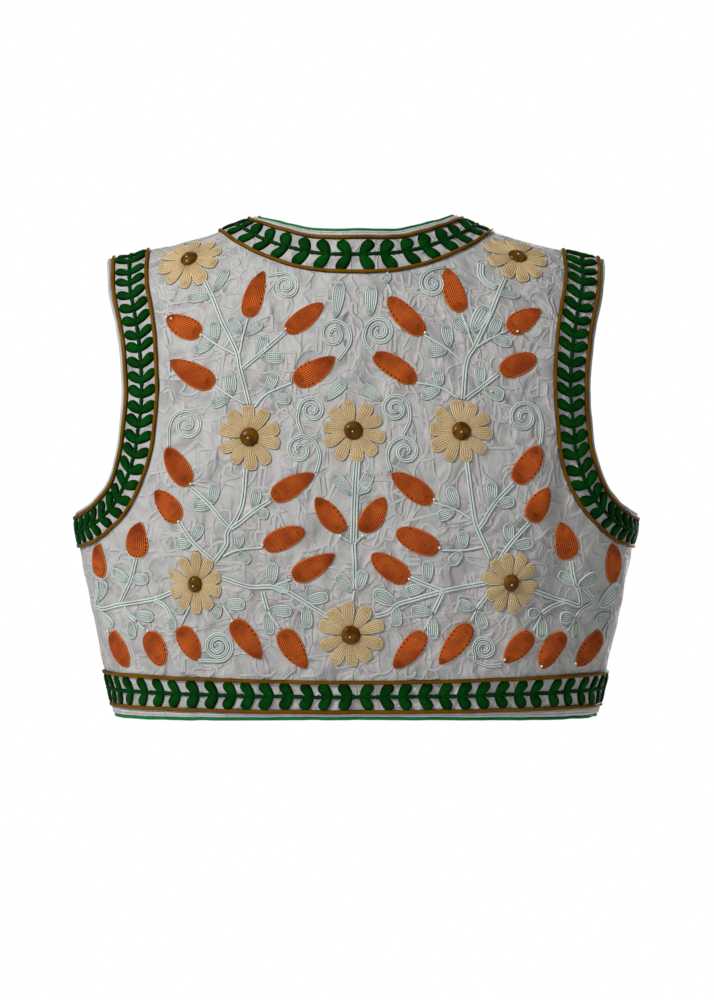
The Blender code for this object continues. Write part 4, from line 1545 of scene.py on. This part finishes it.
@dataclass
class LeafBorders:
    """Heart-shaped pairs of padded leaves along each border's vine."""

    figure: Figure
    cutting: Cutting
    cord_half: float = 1.5
    leaf: Pad = Pad(2.1, 1, 0.0, 0.80, 0.42, 24, 1.7, 0.0, 8)
    axis: tuple[Place, ...] = ((0.30, 0.24), (0.66, 0.62), (1.0, 1.0))
    broad: Heart = Heart(0.61, 8.8, 13.5)
    slim: Heart = Heart(0.70, 8.6, 11.3)
    foot: Place = (-0.6, -0.10)
    place_scatter: float = 0.6
    ahead_scatter: float = 0.8
    breadths: Span = (0.94, 1.06)
    seed: int = 3

    def build(self) -> list[Piece]:
        """Make the leaves of each border.

        Returns:
            The pieces.
        """
        finish = GREEN_LEAF.material()
        rng = np.random.default_rng(self.seed)
        made = []
        cutting = self.cutting
        for name, runs in (
            ("back_edge_leaves", [(run, sign) for run in (cutting.neck, cutting.hem)
                                  for sign in (1, -1)]),
            ("front_edge_leaves", [(cutting.opening, 1), (cutting.opening, -1)]),
            ("armhole_left_leaves", [(cutting.holes[face], -1) for face in Face]),
            ("armhole_right_leaves", [(cutting.holes[face], 1) for face in Face]),
        ):
            patchwork = Patchwork()
            for run, sign in runs:
                self._run_leaves(patchwork, run, sign, rng)
            made.append(patchwork.piece(name, finish, "leaf_green"))
        return made

    def _run_leaves(self, patchwork: Patchwork, run: Run, sign: int, rng: Random) -> None:
        """The leaf pairs of one run.

        Args:
            patchwork: the mesh.
            run: the run.
            sign: 1 for the right side and -1 for the left.
            rng: gives the small unevennesses.
        """
        curve, gap = self.cutting.vine(run)
        heart = self.broad if run.border.hold == 1.0 else self.slim
        stretches = [(curve, gap)] if run.forward else [(curve[::-1], gap[::-1])]
        if run is self.cutting.opening:
            corner = int(np.argmax(curve[:, 0] - curve[:, 1]))
            stretches = [(curve[:corner], gap[:corner]), (curve[corner:][::-1], gap[corner:][::-1])]
        for part, free in stretches:
            self._vine_leaves(patchwork, part * [sign, 1.0], free, run.pitch, heart, rng)

    def _vine_leaves(self, patchwork: Patchwork, curve: Spots, gap: Numbers, pitch: float,
                     heart: Heart, rng: Random) -> None:
        """Leaf pairs at an even pitch along a vine, opening along it.

        Args:
            patchwork: the mesh.
            curve: the vine.
            gap: the half width that is free along it.
            pitch: how far apart the hearts lie.
            heart: their sizes.
            rng: gives the small unevennesses.
        """
        points = self.figure.cloth(curve)
        way = way_along(points)
        last = way[-1] - heart.room
        count = max(int(round((last - heart.first) / pitch)), 1) + 1
        scatter = rng.uniform(-self.place_scatter, self.place_scatter, count)
        for place in np.linspace(heart.first, last, count) + scatter:
            i = int(np.searchsorted(way, place))
            heading = points[min(i + 4, len(points) - 1)] - points[max(i - 4, 0)]
            place_at = self.figure.local(curve[i], heading)
            reach = gap[i] - self.cord_half
            for hand in (1.0, -1.0):
                ahead = heart.ahead + rng.uniform(-self.ahead_scatter, self.ahead_scatter)
                knots = np.vstack([self.foot, np.array(self.axis) * [ahead, 1.0]])
                axis = smooth_path(knots * [1.0, hand * reach], count=24)
                self.leaf.add_to(patchwork, self.figure, place_at, axis,
                                  heart.breadth * pitch * rng.uniform(*self.breadths))


@dataclass(frozen=True)
class Flower:
    """A flower's middle in the back elevation, its height, its turn in degrees and its squeeze.

    `squeeze` is its breadth over its height, and `button` its button's size over the usual one.
    """

    name: str
    across: float
    drop: float
    diameter: float
    turn: float
    squeeze: float = 1.0
    button: float = 1.0


FLOWERS = tuple(Flower(*row) for row in (
    ("shoulder_left", -128, 35, 53, 6, 0.95), ("shoulder_right", 124, 32.5, 48, -4, 1.04),
    ("middle_left", -82, 171, 48.5, 3), ("middle", -2, 166, 47.5, 8),
    ("middle_right", 81, 166.5, 49, 12), ("side_left", -123.5, 284, 47, 0, 0.88, 0.87),
    ("side_right", 119, 283, 47.5, 10, 0.90, 0.92), ("lower", -4, 323, 50, 2),
))


BUTTON_PROFILE = (
    (1.0, -0.2), (1.03, 0.9), (0.96, 1.8), (0.82, 2.8), (0.56, 3.65), (0.27, 4.1), (0.0, 4.2),
)


@dataclass
class Flowers:
    """Padded flowers with ten petals and a glossy domed button."""

    figure: Figure
    petals: int = 10
    petal: Pad = Pad(1.9, 3, 0.42, 0.85, 0.30, 32, 1.4, 0.25)
    petal_width: float = 0.216
    petal_start: float = 2.5
    petal_belly: float = 0.55
    turn_scatter: float = 0.05
    bend_scatter: float = 0.8
    reaches: Span = (0.95, 1.04)
    breadths: Span = (0.93, 1.06)
    button_radius: float = 6.9
    button_height: float = 4.0
    button_cells: tuple[int, int] = (36, 14)
    button_lift: float = 0.6
    glint: Place = (-1.2, 0.6)
    glint_radius: float = 0.6
    glint_lift: float = 0.5
    seed: int = 5

    def build(self) -> list[Piece]:
        """Make the petals and the button of each flower.

        Returns:
            The pieces.
        """
        tan, brown, pale = TAN.material(), BUTTON.material(), SEED.material()
        rng = np.random.default_rng(self.seed)
        made, glints = [], Patchwork()
        for flower in FLOWERS:
            place_at = self._ground(flower)
            patchwork = Patchwork()
            self._petals(patchwork, place_at, flower, rng)
            made.append(patchwork.piece(f"flower_{flower.name}_petals", tan, "petal_tan"))
            patchwork = Patchwork()
            self._button(patchwork, place_at, self.button_radius * flower.button)
            made.append(patchwork.piece(f"flower_{flower.name}_button", brown, "button_brown"))
            # A small pale bead on each button is a painted glint, a highlight set in place.
            lift = self.button_height + self.glint_lift
            top = self.figure.cloth(place_at(np.array([self.glint])), lift)[0]
            glints.ball(top, self.glint_radius)
        made.append(glints.piece("button_glint_beads", pale, "seed_bead", False))
        return made

    def _ground(self, flower: Flower) -> PlaceAt:
        """A function that turns (up, left) millimetres at a flower's middle into spots."""
        middle = self.figure.back_spot(flower.across, flower.drop)
        local = self.figure.local(middle, (0.0, 0.0, 1.0))
        return lambda offsets: local(offsets * [1.0, flower.squeeze])

    def _petals(self, patchwork: Patchwork, place_at: PlaceAt, flower: Flower,
                rng: Random) -> None:
        """The petals, set round the button.

        Args:
            patchwork: the mesh.
            place_at: gives the spots at (up, left) millimetres.
            flower: the flower.
            rng: gives the small unevennesses.
        """
        for i in range(self.petals):
            angle = math.radians(flower.turn) + 2.0 * math.pi * i / self.petals
            angle += rng.uniform(-self.turn_scatter, self.turn_scatter)
            reach = flower.diameter / 2.0 * rng.uniform(*self.reaches)
            bend = rng.uniform(-self.bend_scatter, self.bend_scatter)
            belly = (reach * self.petal_belly, bend)
            knots = np.array([(self.petal_start, 0.0), belly, (reach, 0.0)])
            cos, sin = math.cos(angle), math.sin(angle)
            axis = smooth_path(knots, count=24) @ np.array([[cos, sin], [-sin, cos]])
            self.petal.add_to(patchwork, self.figure, place_at, axis,
                              self.petal_width * flower.diameter * rng.uniform(*self.breadths))

    def _button(self, patchwork: Patchwork, place_at: PlaceAt, radius: float) -> None:
        """The button: a low collar and a dome.

        Args:
            patchwork: the mesh.
            place_at: gives the spots at (up, left) millimetres.
            radius: its radius.
        """
        profile = smooth_path(np.array(BUTTON_PROFILE), count=self.button_cells[1] + 1)
        scale = self.button_height / BUTTON_PROFILE[-1][1]

        def place(u: Numbers, v: Numbers) -> Marked:
            """Points of the dome."""
            angle = 2.0 * math.pi * u
            ring = profile[np.rint(v * self.button_cells[1]).astype(int)]
            reach = radius * ring[:, 0]
            offsets = np.stack([reach * np.cos(angle), reach * np.sin(angle)], axis=1)
            points = self.figure.cloth(place_at(offsets), ring[:, 1] * scale + self.button_lift)
            return points, np.stack([u, v], axis=1)

        patchwork.add(*self.button_cells, place)


@dataclass(frozen=True)
class Teardrop:
    """A teardrop leaf's stem end and tip, in the back elevation."""

    stem_across: float
    stem_drop: float
    tip_across: float
    tip_drop: float


TEARDROPS = tuple(Teardrop(*row) for row in (
    (-119, 92, -146, 78), (-109, 131, -143, 112), (-83, 79, -71, 43), (-54, 90, -25, 68),
    (-48, 129, -16, 109), (-128, 208, -146, 179), (-136, 236, -155, 212), (-169, 264, -166, 236),
    (-198, 279, -197, 253), (-65, 218, -32, 199), (-10, 246, -31, 215), (-71, 256, -39, 243),
    (-49, 279, -16, 261), (-189, 321, -175, 348), (-161, 321, -149, 347), (-136, 317, -122, 343),
    (-95, 312, -73, 342), (-57, 319, -38, 349), (52, 92, 25, 63), (46, 129, 13, 107),
    (81, 75, 70, 41), (117, 89, 142, 73), (111, 122, 139, 109), (122, 206, 142, 178),
    (134, 236, 149, 210), (166, 266, 159, 236), (199, 283, 197, 253), (59, 221, 27, 199),
    (5, 246, 22, 215), (64, 258, 31, 243), (41, 281, 12, 261), (52, 321, 29, 349),
    (88, 315, 64, 346), (136, 322, 114, 345), (161, 322, 142, 349), (189, 322, 169, 347),
))


@dataclass
class Teardrops:
    """Padded teardrop leaves, worked in rows that follow their outline."""

    figure: Figure
    pad: Pad = Pad(1.85, 6, 0.34, 0.40, 0.62, 40, 1.2)
    width: float = 17.8
    bend: float = 1.3
    tip_powers: Span = (0.46, 0.74)
    breadths: Span = (0.94, 1.04)
    side_growth: float = 0.2
    seed: int = 9

    def build(self) -> list[Piece]:
        """Make the teardrop leaves.

        Returns:
            The one piece that holds them.
        """
        rng = np.random.default_rng(self.seed)
        patchwork = Patchwork()
        for leaf in TEARDROPS:
            place_at, length = self.figure.between((leaf.stem_across, leaf.stem_drop),
                                                   (leaf.tip_across, leaf.tip_drop))
            bend = rng.uniform(-self.bend, self.bend)
            knots = np.array([(-length / 2.0, 0.0), (0.0, bend), (length / 2.0, 0.0)])
            pad = replace(self.pad, tip_power=rng.uniform(*self.tip_powers))
            pad.add_to(patchwork, self.figure, place_at, smooth_path(knots, count=30),
                       self._breadth(leaf) * rng.uniform(*self.breadths))
        return [patchwork.piece("teardrop_leaves", ORANGE.material(), "teardrop_orange")]

    def _breadth(self, leaf: Teardrop) -> float:
        """A leaf's width, which is larger near the sides."""
        near_side = min(max(abs(leaf.stem_across) / 60.0 - 2.1, 0.0), 1.0)
        return self.width * (1.0 + self.side_growth * near_side)


@dataclass(frozen=True)
class Leaf:
    """A small leaf's base, tip and width, in the back elevation."""

    base_across: float
    base_drop: float
    tip_across: float
    tip_drop: float
    width: float


@dataclass(frozen=True)
class Spiral:
    """A spiral's middle, radius, turns and outer end, which way it winds in, and its tail.

    The end's angle is in degrees, 0 to the right and 90 up. Winding is 1 for a spiral
    that goes in anticlockwise from its end, and -1 for clockwise.
    """

    across: float
    drop: float
    radius: float
    turns: float
    end_angle: float
    winding: int
    tail: tuple[Place, ...]


STEMS = {
    StemKind.TRIPLE: (
        ((1, 186), (-1, 219), (-2, 254)), ((96, 37), (96, 46), (101, 53), (109, 57)),
    ),
    StemKind.DOUBLE: (
        ((-118, 48), (-111, 62), (-103, 82), (-92, 105), (-89, 119), (-82, 147)),
        ((115, 48), (109, 62), (103, 77), (92, 100), (85, 113), (82, 143)),
        ((-2, 252), (-1, 270), (-1, 289)),
        ((-85, 195), (-88, 224), (-99, 244), (-100, 254), (-110, 268)),
        ((85, 189), (89, 219), (93, 240), (104, 266)),
        ((-104, 279), (-82, 286), (-65, 286), (-51, 291), (-35, 301), (-20, 310)),
        ((101, 283), (69, 289), (48, 295), (32, 300), (25, 306), (14, 309)),
        ((-141, 290), (-157, 296), (-182, 300), (-194, 303), (-201, 301)),
        ((-169, 264), (-174, 283), (-182, 300)), ((-199, 280), (-199, 290), (-200, 301)),
        ((137, 289), (153, 295), (163, 298), (172, 300), (171, 288), (169, 284), (167, 266)),
        ((174, 286), (182, 297), (174, 303), (169, 310)), ((162, 298), (151, 302), (143, 307)),
        ((103, 290), (98, 297), (93, 304)), ((-157, 296), (-147, 302), (-142, 312)),
        ((-54, 90), (-76, 109), (-88, 119)), ((110, 122), (96, 133), (84, 142)),
        ((-65, 219), (-80, 229), (-97, 242)), ((-128, 209), (-112, 224), (-97, 241)),
        ((-136, 236), (-125, 252), (-109, 267)), ((122, 206), (106, 223), (94, 242)),
        ((134, 236), (118, 254), (109, 268)), ((41, 279), (55, 285), (69, 290)),
        ((-72, 289), (-68, 305)), ((67, 290), (59, 307)), ((-179, 301), (-173, 308), (-168, 313)),
    ),
    StemKind.SINGLE: (
        ((-1, 288), (-3, 298)), ((-119, 92), (-109, 99), (-92, 108)),
        ((-109, 131), (-96, 140), (-84, 146)), ((-83, 79), (-87, 94), (-90, 108)),
        ((-49, 129), (-69, 138), (-79, 149)), ((81, 75), (86, 89), (91, 102)),
        ((52, 92), (71, 104), (84, 115)), ((46, 129), (65, 133), (80, 142)),
        ((117, 89), (104, 95), (92, 102)), ((-12, 247), (-3, 253)), ((5, 247), (-2, 254)),
        ((-71, 256), (-91, 258), (-103, 263)), ((59, 221), (77, 227), (90, 235)),
        ((64, 258), (83, 258), (99, 255)), ((-49, 280), (-65, 286)), ((-103, 300), (-95, 312)),
        ((-68, 305), (-58, 319)), ((59, 307), (52, 320)), ((93, 304), (88, 314)),
        ((-195, 304), (-196, 307)), ((-168, 313), (-162, 320)), ((-127, 300), (-135, 316)),
        ((143, 307), (136, 321)), ((169, 310), (162, 321)), ((196, 301), (196, 309), (189, 321)),
        ((24, 42), (24, 47)), ((24, 53), (28, 62)),
    ),
}

LEAVES = tuple(Leaf(*row) for row in (
    (-110, 62, -130, 65, 7), (-109, 59, -99, 42, 7), (-108, 99, -109, 82, 7),
    (-109, 99, -125, 104, 7), (-95, 139, -97, 122, 7), (-97, 141, -112, 146, 7),
    (-88, 92, -97, 79, 7), (-85, 93, -72, 82, 7), (-75, 109, -70, 93, 7), (-74, 110, -55, 110, 7.5),
    (-69, 137, -62, 122, 7), (-67, 139, -50, 143, 7), (109, 61, 126, 62, 6), (87, 91, 75, 79, 7.5),
    (89, 91, 101, 70, 10), (103, 94, 110, 80, 7), (105, 95, 120, 99, 7.5), (72, 102, 69, 84, 7),
    (70, 105, 54, 106, 7), (65, 132, 62, 119, 7), (65, 134, 50, 140, 7), (96, 132, 95, 116, 7),
    (98, 134, 114, 140, 8.5), (-16, 80, -12, 52, 7.5), (11, 78, 12, 54, 7.5),
    (-25, 143, -8, 128, 7.5), (20, 143, 5, 131, 7), (24, 53, 24, 45, 4.5), (-3, 216, -18, 199, 7),
    (1, 216, 12, 198, 7), (2, 214, 11, 207, 6), (-3, 290, -15, 277, 7.5), (1, 289, 6, 273, 7.5),
    (-79, 226, -76, 211, 7), (-78, 228, -67, 231, 7), (-111, 223, -108, 206, 7),
    (-112, 225, -126, 223, 7), (-91, 257, -89, 246, 6), (-90, 259, -82, 268, 6),
    (-125, 251, -119, 238, 7), (-126, 253, -139, 253, 7), (78, 226, 72, 209, 7),
    (76, 228, 62, 233, 7), (105, 221, 104, 205, 7), (107, 223, 122, 220, 7), (83, 257, 82, 243, 7),
    (82, 259, 72, 269, 7), (118, 253, 117, 237, 7), (119, 255, 137, 252, 7),
    (-65, 285, -64, 267, 7.5), (-64, 286, -51, 287, 7), (-40, 298, -21, 293, 7),
    (-39, 300, -37, 318, 7), (55, 283, 55, 266, 7), (54, 286, 38, 290, 7), (32, 300, 13, 290, 9),
    (31, 301, 31, 317, 7), (-68, 304, -49, 305, 7.5), (-69, 306, -66, 323, 7),
    (59, 306, 42, 304, 7), (59, 308, 59, 327, 7), (92, 303, 78, 299, 7), (94, 305, 99, 319, 7.5),
    (-103, 299, -85, 300, 7.5), (-104, 300, -109, 310, 6), (-198, 297, -192, 283, 7),
    (-196, 305, -186, 316, 6), (-174, 281, -187, 274, 7), (-173, 281, -160, 280, 7),
    (-171, 307, -156, 310, 7), (-172, 312, -172, 326, 7), (-142, 306, -141, 321, 6),
    (-140, 305, -132, 303, 5.5), (169, 285, 158, 276, 7), (170, 286, 186, 277, 8.5),
    (169, 310, 157, 310, 7.5), (169, 311, 169, 327, 7), (142, 306, 132, 307, 7),
    (143, 308, 143, 327, 7.5), (196, 309, 184, 311, 7), (196, 310, 193, 327, 6),
    (186, 301, 202, 286, 13),
))

SPIRALS = tuple(Spiral(*row) for row in (
    (-54, 55, 10, 1.8, 105, -1, ((-62, 46), (-69, 47))),
    (-17, 92, 11, 1.5, 35, 1, ((-5, 89), (-5, 99), (-14, 112))),
    (18, 90, 11, 2.2, 170, -1, ((6, 94), (8, 100), (15, 109))),
    (59, 53, 10, 1.9, 120, 1, ((59, 42), (69, 40))),
    (-130, 162, 12.5, 1.8, 165, -1, ((-144, 166), (-144, 179))),
    (-34, 150, 10, 1.9, 180, -1, ((-45, 158), (-41, 170))),
    (-43, 181, 10, 1.4, 95, 1, ((-41, 170), (-32, 175), (-28, 186), (-31, 199))),
    (30, 149, 11, 1.9, 0, 1, ((41, 159), (35, 171))),
    (38, 182, 10, 1.4, 85, -1, ((35, 171), (27, 176), (24, 186), (27, 198))),
    (129, 156, 12.5, 1.7, 10, 1, ((143, 164), (142, 177))),
    (-106, 332, 11.5, 2.7, 262, 1, ((-116, 343), (-122, 343))),
    (99, 334, 9, 2.1, 215, -1, ((92, 343), (102, 347), (113, 346))),
))


@dataclass
class MintVines:
    """Couched mint stems, spirals and outlined leaves between the flowers."""

    figure: Figure
    thread: Cording = Cording(1.75, 1.45, 6, 1.6, 0.05, 7.0)
    fine_thread: Cording = Cording(1.4, 1.35, 6, 1.3)
    fine_spacing: float = 1.5
    spacing: float = 1.95
    leaf_breadth: float = 1.33
    spiral_start: float = 1.2
    spiral_power: float = 0.85
    lift_share: float = 0.32
    filling: Pad = Pad(1.15, 3, 0.34, 0.62, 0.36, 28, 1.25, 0.6)

    def build(self) -> list[Piece]:
        """Make the stems, the spirals and the leaves.

        Returns:
            The pieces.
        """
        cord = MINT_CORD.material()
        stems, spirals, leaves = Patchwork(), Patchwork(), Patchwork()
        for kind, lines in STEMS.items():
            for line in map(self._smooth, lines):
                for k in range(kind.value):
                    aside = (k - (kind.value - 1) / 2.0) * self.spacing
                    self._thread(stems, line, aside, self.thread)
        for spiral in SPIRALS:
            line = self._spiral_line(spiral)
            for aside in (-self.fine_spacing / 2.0, self.fine_spacing / 2.0):
                self._thread(spirals, line, aside, self.fine_thread)
        for leaf in LEAVES:
            self._leaf(leaves, leaf)
        return [stems.piece("mint_stems", cord, "stem_mint"),
                spirals.piece("mint_spirals", cord, "stem_mint"),
                leaves.piece("mint_leaves", MINT_FILL.material(), "stem_mint")]

    def _smooth(self, places: Sequence[Place]) -> Spots:
        """A smooth line of spots through places of the elevation."""
        knots = self.figure.back_spots(places)
        if len(knots) == 2:
            return knots[0] + (knots[1] - knots[0]) * np.linspace(0.0, 1.0, 12)[:, None]
        return smooth_path(knots, count=16 * len(knots))

    def _thread(self, patchwork: Patchwork, line: Spots, aside: float, thread: Cording) -> None:
        """One thread beside a line."""
        points = self.figure.cloth(line)
        tangent = np.gradient(points, axis=0)
        sideways = np.cross(self.figure.slopes(line)[2], tangent)
        shift, _ = self.figure.shift(line, sideways)
        lift = thread.height * self.lift_share
        thread.add_to(patchwork, Lay.over(self.figure, line + shift * aside, lift))

    def _spiral_line(self, spiral: Spiral) -> Spots:
        """The spots along a spiral, from its middle out to the end of its tail.

        Args:
            spiral: the spiral.

        Returns:
            The line.
        """
        part = np.linspace(0.0, 1.0, int(26 * spiral.turns) + 8)
        reach = self.spiral_start + (spiral.radius - self.spiral_start) * part**self.spiral_power
        left = 2.0 * math.pi * spiral.turns * (1.0 - part)
        angle = math.radians(spiral.end_angle) + spiral.winding * left
        ring = np.stack([spiral.across + reach * np.cos(angle),
                         spiral.drop - reach * np.sin(angle)], axis=1)
        tail = smooth_path(np.vstack([ring[-1], spiral.tail]), ring[-2], count=24)
        return self.figure.back_spots(np.vstack([ring[:-1], tail]))

    def _leaf(self, patchwork: Patchwork, leaf: Leaf) -> None:
        """One outlined leaf with its filling."""
        place_at, length = self.figure.between((leaf.base_across, leaf.base_drop),
                                               (leaf.tip_across, leaf.tip_drop))
        axis = np.linspace((-length / 2.0, 0.0), (length / 2.0, 0.0), 16)
        self.filling.add_to(patchwork, self.figure, place_at, axis, leaf.width * self.leaf_breadth)


class Stroke(Enum):
    """The shapes that a ground thread is laid in."""

    ANGLE = "angle"
    BOX = "box"
    ARC = "arc"
    HOOK = "hook"
    TRACK = "track"
    WAVE = "wave"


@dataclass
class GroundThreads:
    """Tone-on-tone threads couched over the ground in angles, boxes, arcs, hooks, tracks and waves.

    `shares` says how common each kind of stroke is, in the order of Stroke.
    """

    figure: Figure
    cutting: Cutting
    shares: tuple[float, ...] = (0.24, 0.22, 0.18, 0.08, 0.18, 0.10)
    thread: Cording = Cording(2.8, 0.66, 6, 2.2, 0.10, 9.0)
    spacing: float = 18.0
    scatter: float = 0.45
    seam_room: float = 4.0
    border_room: float = 2.0
    lift: float = -0.08
    shortest: int = 5
    step: float = 1.8
    heading_scatter: float = 0.16
    step_counts: tuple[int, int] = (17, 27)
    corners: tuple[int, int] = (5, 10)
    arc_turns: Span = (0.12, 0.24)
    hook_turn: float = 0.42
    wave_turn: float = 0.26
    wave_rate: float = 0.5
    seed: int = 21

    def build(self) -> list[Piece]:
        """Make the threads of each panel.

        Returns:
            The pieces.
        """
        finish = GROUND_CORD.material()
        rng = np.random.default_rng(self.seed)
        made = []
        for node, loop in self.cutting.panel_loops(self._field).items():
            patchwork = Patchwork()
            lines = [self._stroke(start, rng) for start in self._starts(loop, rng)]
            spots = np.vstack(lines)
            free = inside(loop, spots) & (spots[:, 1] < self.figure.ridge - self.seam_room)
            kept = np.split(free, np.cumsum([len(line) for line in lines])[:-1])
            for line, within in zip(lines, kept):
                line = line if within.all() else line[: int(np.argmin(within))]
                if len(line) > self.shortest:
                    self.thread.add_to(patchwork, Lay.over(self.figure, line, self.lift))
            made.append(patchwork.piece(f"{node}_ground_threads", finish, "ground_cloth"))
        return made

    def _field(self, run: Run) -> Spots:
        """The edge of the field inside a run's border."""
        room = run.border.inner_cord + self.border_room
        return self.cutting.inset(run, room, run.border.inner_swell)

    def _starts(self, loop: Spots, rng: Random) -> Spots:
        """Unevenly spaced spots inside a loop."""
        low, high = loop.min(axis=0), loop.max(axis=0)
        across, up = (np.arange(a, b, self.spacing) for a, b in zip(low, high))
        grid = np.array([(x, y) for y in up for x in across])
        grid += rng.uniform(-self.scatter, self.scatter, grid.shape) * self.spacing
        return grid[inside(loop, grid)]

    def _stroke(self, start: Spots, rng: Random) -> Spots:
        """One stroke: a walk whose turning depends on its kind.

        Args:
            start: its first spot.
            rng: gives its shape.

        Returns:
            Its spots.
        """
        kind = rng.choice(list(Stroke), p=self.shares)
        heading = rng.choice([0.0, 1.0, 2.0, 3.0]) * math.pi / 2.0
        heading += rng.normal(0.0, self.heading_scatter)
        hand = rng.choice([-1.0, 1.0])
        spots = [start]
        for bend in hand * self._bends(kind, rng):
            heading += bend
            spots.append(spots[-1] + self.step * np.array([math.cos(heading), math.sin(heading)]))
        return np.array(spots)

    def _bends(self, kind: Stroke, rng: Random) -> Numbers:
        """How far a stroke turns before each step, in radians.

        Args:
            kind: the stroke's shape.
            rng: gives its sizes.

        Returns:
            One turn for each step.
        """
        count = int(rng.integers(*self.step_counts))
        bends = np.zeros(count)
        corner = int(rng.integers(*self.corners))
        if kind is Stroke.ANGLE:
            bends[corner] = math.pi / 2.0
        elif kind is Stroke.BOX:
            bends = np.zeros(corner * 3)
            bends[[corner - 1, corner * 2 - 3, corner * 3 - 6]] = math.pi / 2.0
        elif kind is Stroke.ARC:
            bends[:] = rng.uniform(*self.arc_turns)
        elif kind is Stroke.HOOK:
            bends[corner + 2:] = self.hook_turn
            bends = bends[: corner + 10]
        elif kind is Stroke.TRACK:
            bends[[corner, corner + 2]] = math.pi / 2.0
            bends = bends[: corner * 2 + 2]
        else:
            bends[:] = self.wave_turn * np.sin(np.arange(count) * self.wave_rate)
        return bends


@dataclass
class SeedBeads:
    """Small pale beads at the ends of stems and teardrop leaves."""

    figure: Figure
    radius: float = 0.95
    lift: float = 1.7
    places: tuple[Place, ...] = (
        (-12, 247), (5, 247), (64, 256), (-72, 254), (114, 342), (142, 347), (168, 345),
        (-160, 320), (-95, 312), (199, 284), (-146, 79), (-142, 80), (-190, 320), (124, 90),
        (-54, 88), (53, 91), (60, 219), (-119, 93), (104, 136), (41, 280), (-127, 207), (-136, 236),
    )

    def build(self) -> list[Piece]:
        """Make the beads.

        Returns:
            The one piece that holds them.
        """
        patchwork = Patchwork()
        for place in self.places:
            spot = self.figure.back_spot(*place)
            patchwork.ball(self.figure.cloth(spot, self.lift)[0], self.radius)
        return [patchwork.piece("seed_beads", SEED.material(), "seed_bead", False)]


@dataclass
class Studio:
    """The floor, the light and the camera."""

    floor_drop: float = 1.45
    floor_size: float = 5.0
    camera_distance: float = 2.8
    camera_drop: float = 0.194
    image_height: int = 1000
    millimetres_per_pixel: float = 0.77
    axis_row: float = 467.0
    axis_column: float = 356.0
    image_width: int = 714
    sensor_width: float = 36.0
    ambient: float = 0.33
    aim: Triple = (0.0, 0.0, -0.2)

    def build(self) -> None:
        """Set the scene round the garment."""
        bpy.context.scene.view_settings.view_transform = "Standard"
        self._floor()
        self._camera()
        self._light("key", (-2.0, -2.0, 1.7), 0.6, 140.0)
        self._light("fill", (2.2, -1.8, 0.5), 1.6, 6.0)
        self._light("front_fill", (0.7, 2.6, 0.2), 1.6, 85.0)
        self._surround()

    def _surround(self) -> None:
        """A white surround that lights the garment softly."""
        world = bpy.data.worlds.new("studio")
        bpy.context.scene.world = world
        world.use_nodes = True
        tree = world.node_tree
        sky = tree.nodes["Background"]
        seen = tree.nodes.new("ShaderNodeBackground")
        for node, strength in ((sky, self.ambient), (seen, 1.0)):
            node.inputs[0].default_value = (1.0, 1.0, 1.0, 1.0)
            node.inputs[1].default_value = strength
        path, mix = tree.nodes.new("ShaderNodeLightPath"), tree.nodes.new("ShaderNodeMixShader")
        tree.links.new(path.outputs["Is Camera Ray"], mix.inputs[0])
        tree.links.new(sky.outputs[0], mix.inputs[1])
        tree.links.new(seen.outputs[0], mix.inputs[2])
        tree.links.new(mix.outputs[0], tree.nodes["World Output"].inputs[0])

    def _floor(self) -> None:
        """A plain pale floor under the garment."""
        bm = bmesh.new()
        bmesh.ops.create_circle(bm, cap_ends=True, segments=96, radius=self.floor_size)
        bmesh.ops.translate(bm, verts=bm.verts, vec=(0.0, 0.0, -self.floor_drop))
        mesh = bpy.data.meshes.new("floor")
        bm.to_mesh(mesh)
        bm.free()
        floor = bpy.data.objects.new("floor", mesh)
        bpy.context.scene.collection.objects.link(floor)
        shader = Shader("floor_pale", 0.9)
        shader.main.inputs["Base Color"].default_value = (0.93, 0.93, 0.93, 1.0)
        mesh.materials.append(shader.material)

    def _camera(self) -> None:
        """A level camera behind the garment."""
        data = bpy.data.cameras.new("camera")
        data.sensor_width = self.sensor_width
        span = self.image_height * self.millimetres_per_pixel * METRE
        data.lens = data.sensor_width * self.camera_distance / span
        data.shift_x = (self.image_width / 2.0 - self.axis_column) / self.image_height
        data.shift_y = (self.axis_row - self.image_height / 2.0) / self.image_height
        camera = bpy.data.objects.new("camera", data)
        camera.location = (0.0, -self.camera_distance, -self.camera_drop)
        camera.rotation_euler = (math.pi / 2.0, 0.0, 0.0)
        bpy.context.scene.collection.objects.link(camera)
        bpy.context.scene.camera = camera

    def _light(self, name: str, place: Triple, size: float, power: float) -> None:
        """A square soft light that faces the garment.

        Args:
            name: its name.
            place: where it stands.
            size: its side, in metres.
            power: its power, in watts.
        """
        data = bpy.data.lights.new(name, "AREA")
        data.size = size
        data.energy = power
        lamp = bpy.data.objects.new(name, data)
        lamp.location = place
        way = Vector(self.aim) - Vector(place)
        lamp.rotation_euler = way.to_track_quat("-Z", "Y").to_euler()
        bpy.context.scene.collection.objects.link(lamp)


def main() -> None:
    """Build the garment and its setting."""
    logging.basicConfig(level=logging.INFO, format="%(name)s %(message)s")
    figure = Figure()
    cutting = Cutting(figure)
    cloth = ClothPanels(figure, cutting)
    panels = cloth.build()
    trims = EdgeTrims(figure, cutting).build()
    leaves = LeafBorders(figure, cutting).build()
    threads = GroundThreads(figure, cutting).build()
    worked = [piece for kind in (Flowers, Teardrops, MintVines, SeedBeads)
              for piece in kind(figure).build()]
    cloth.flat_sizes()
    Studio().build()


if __name__ == "__main__":
    main()
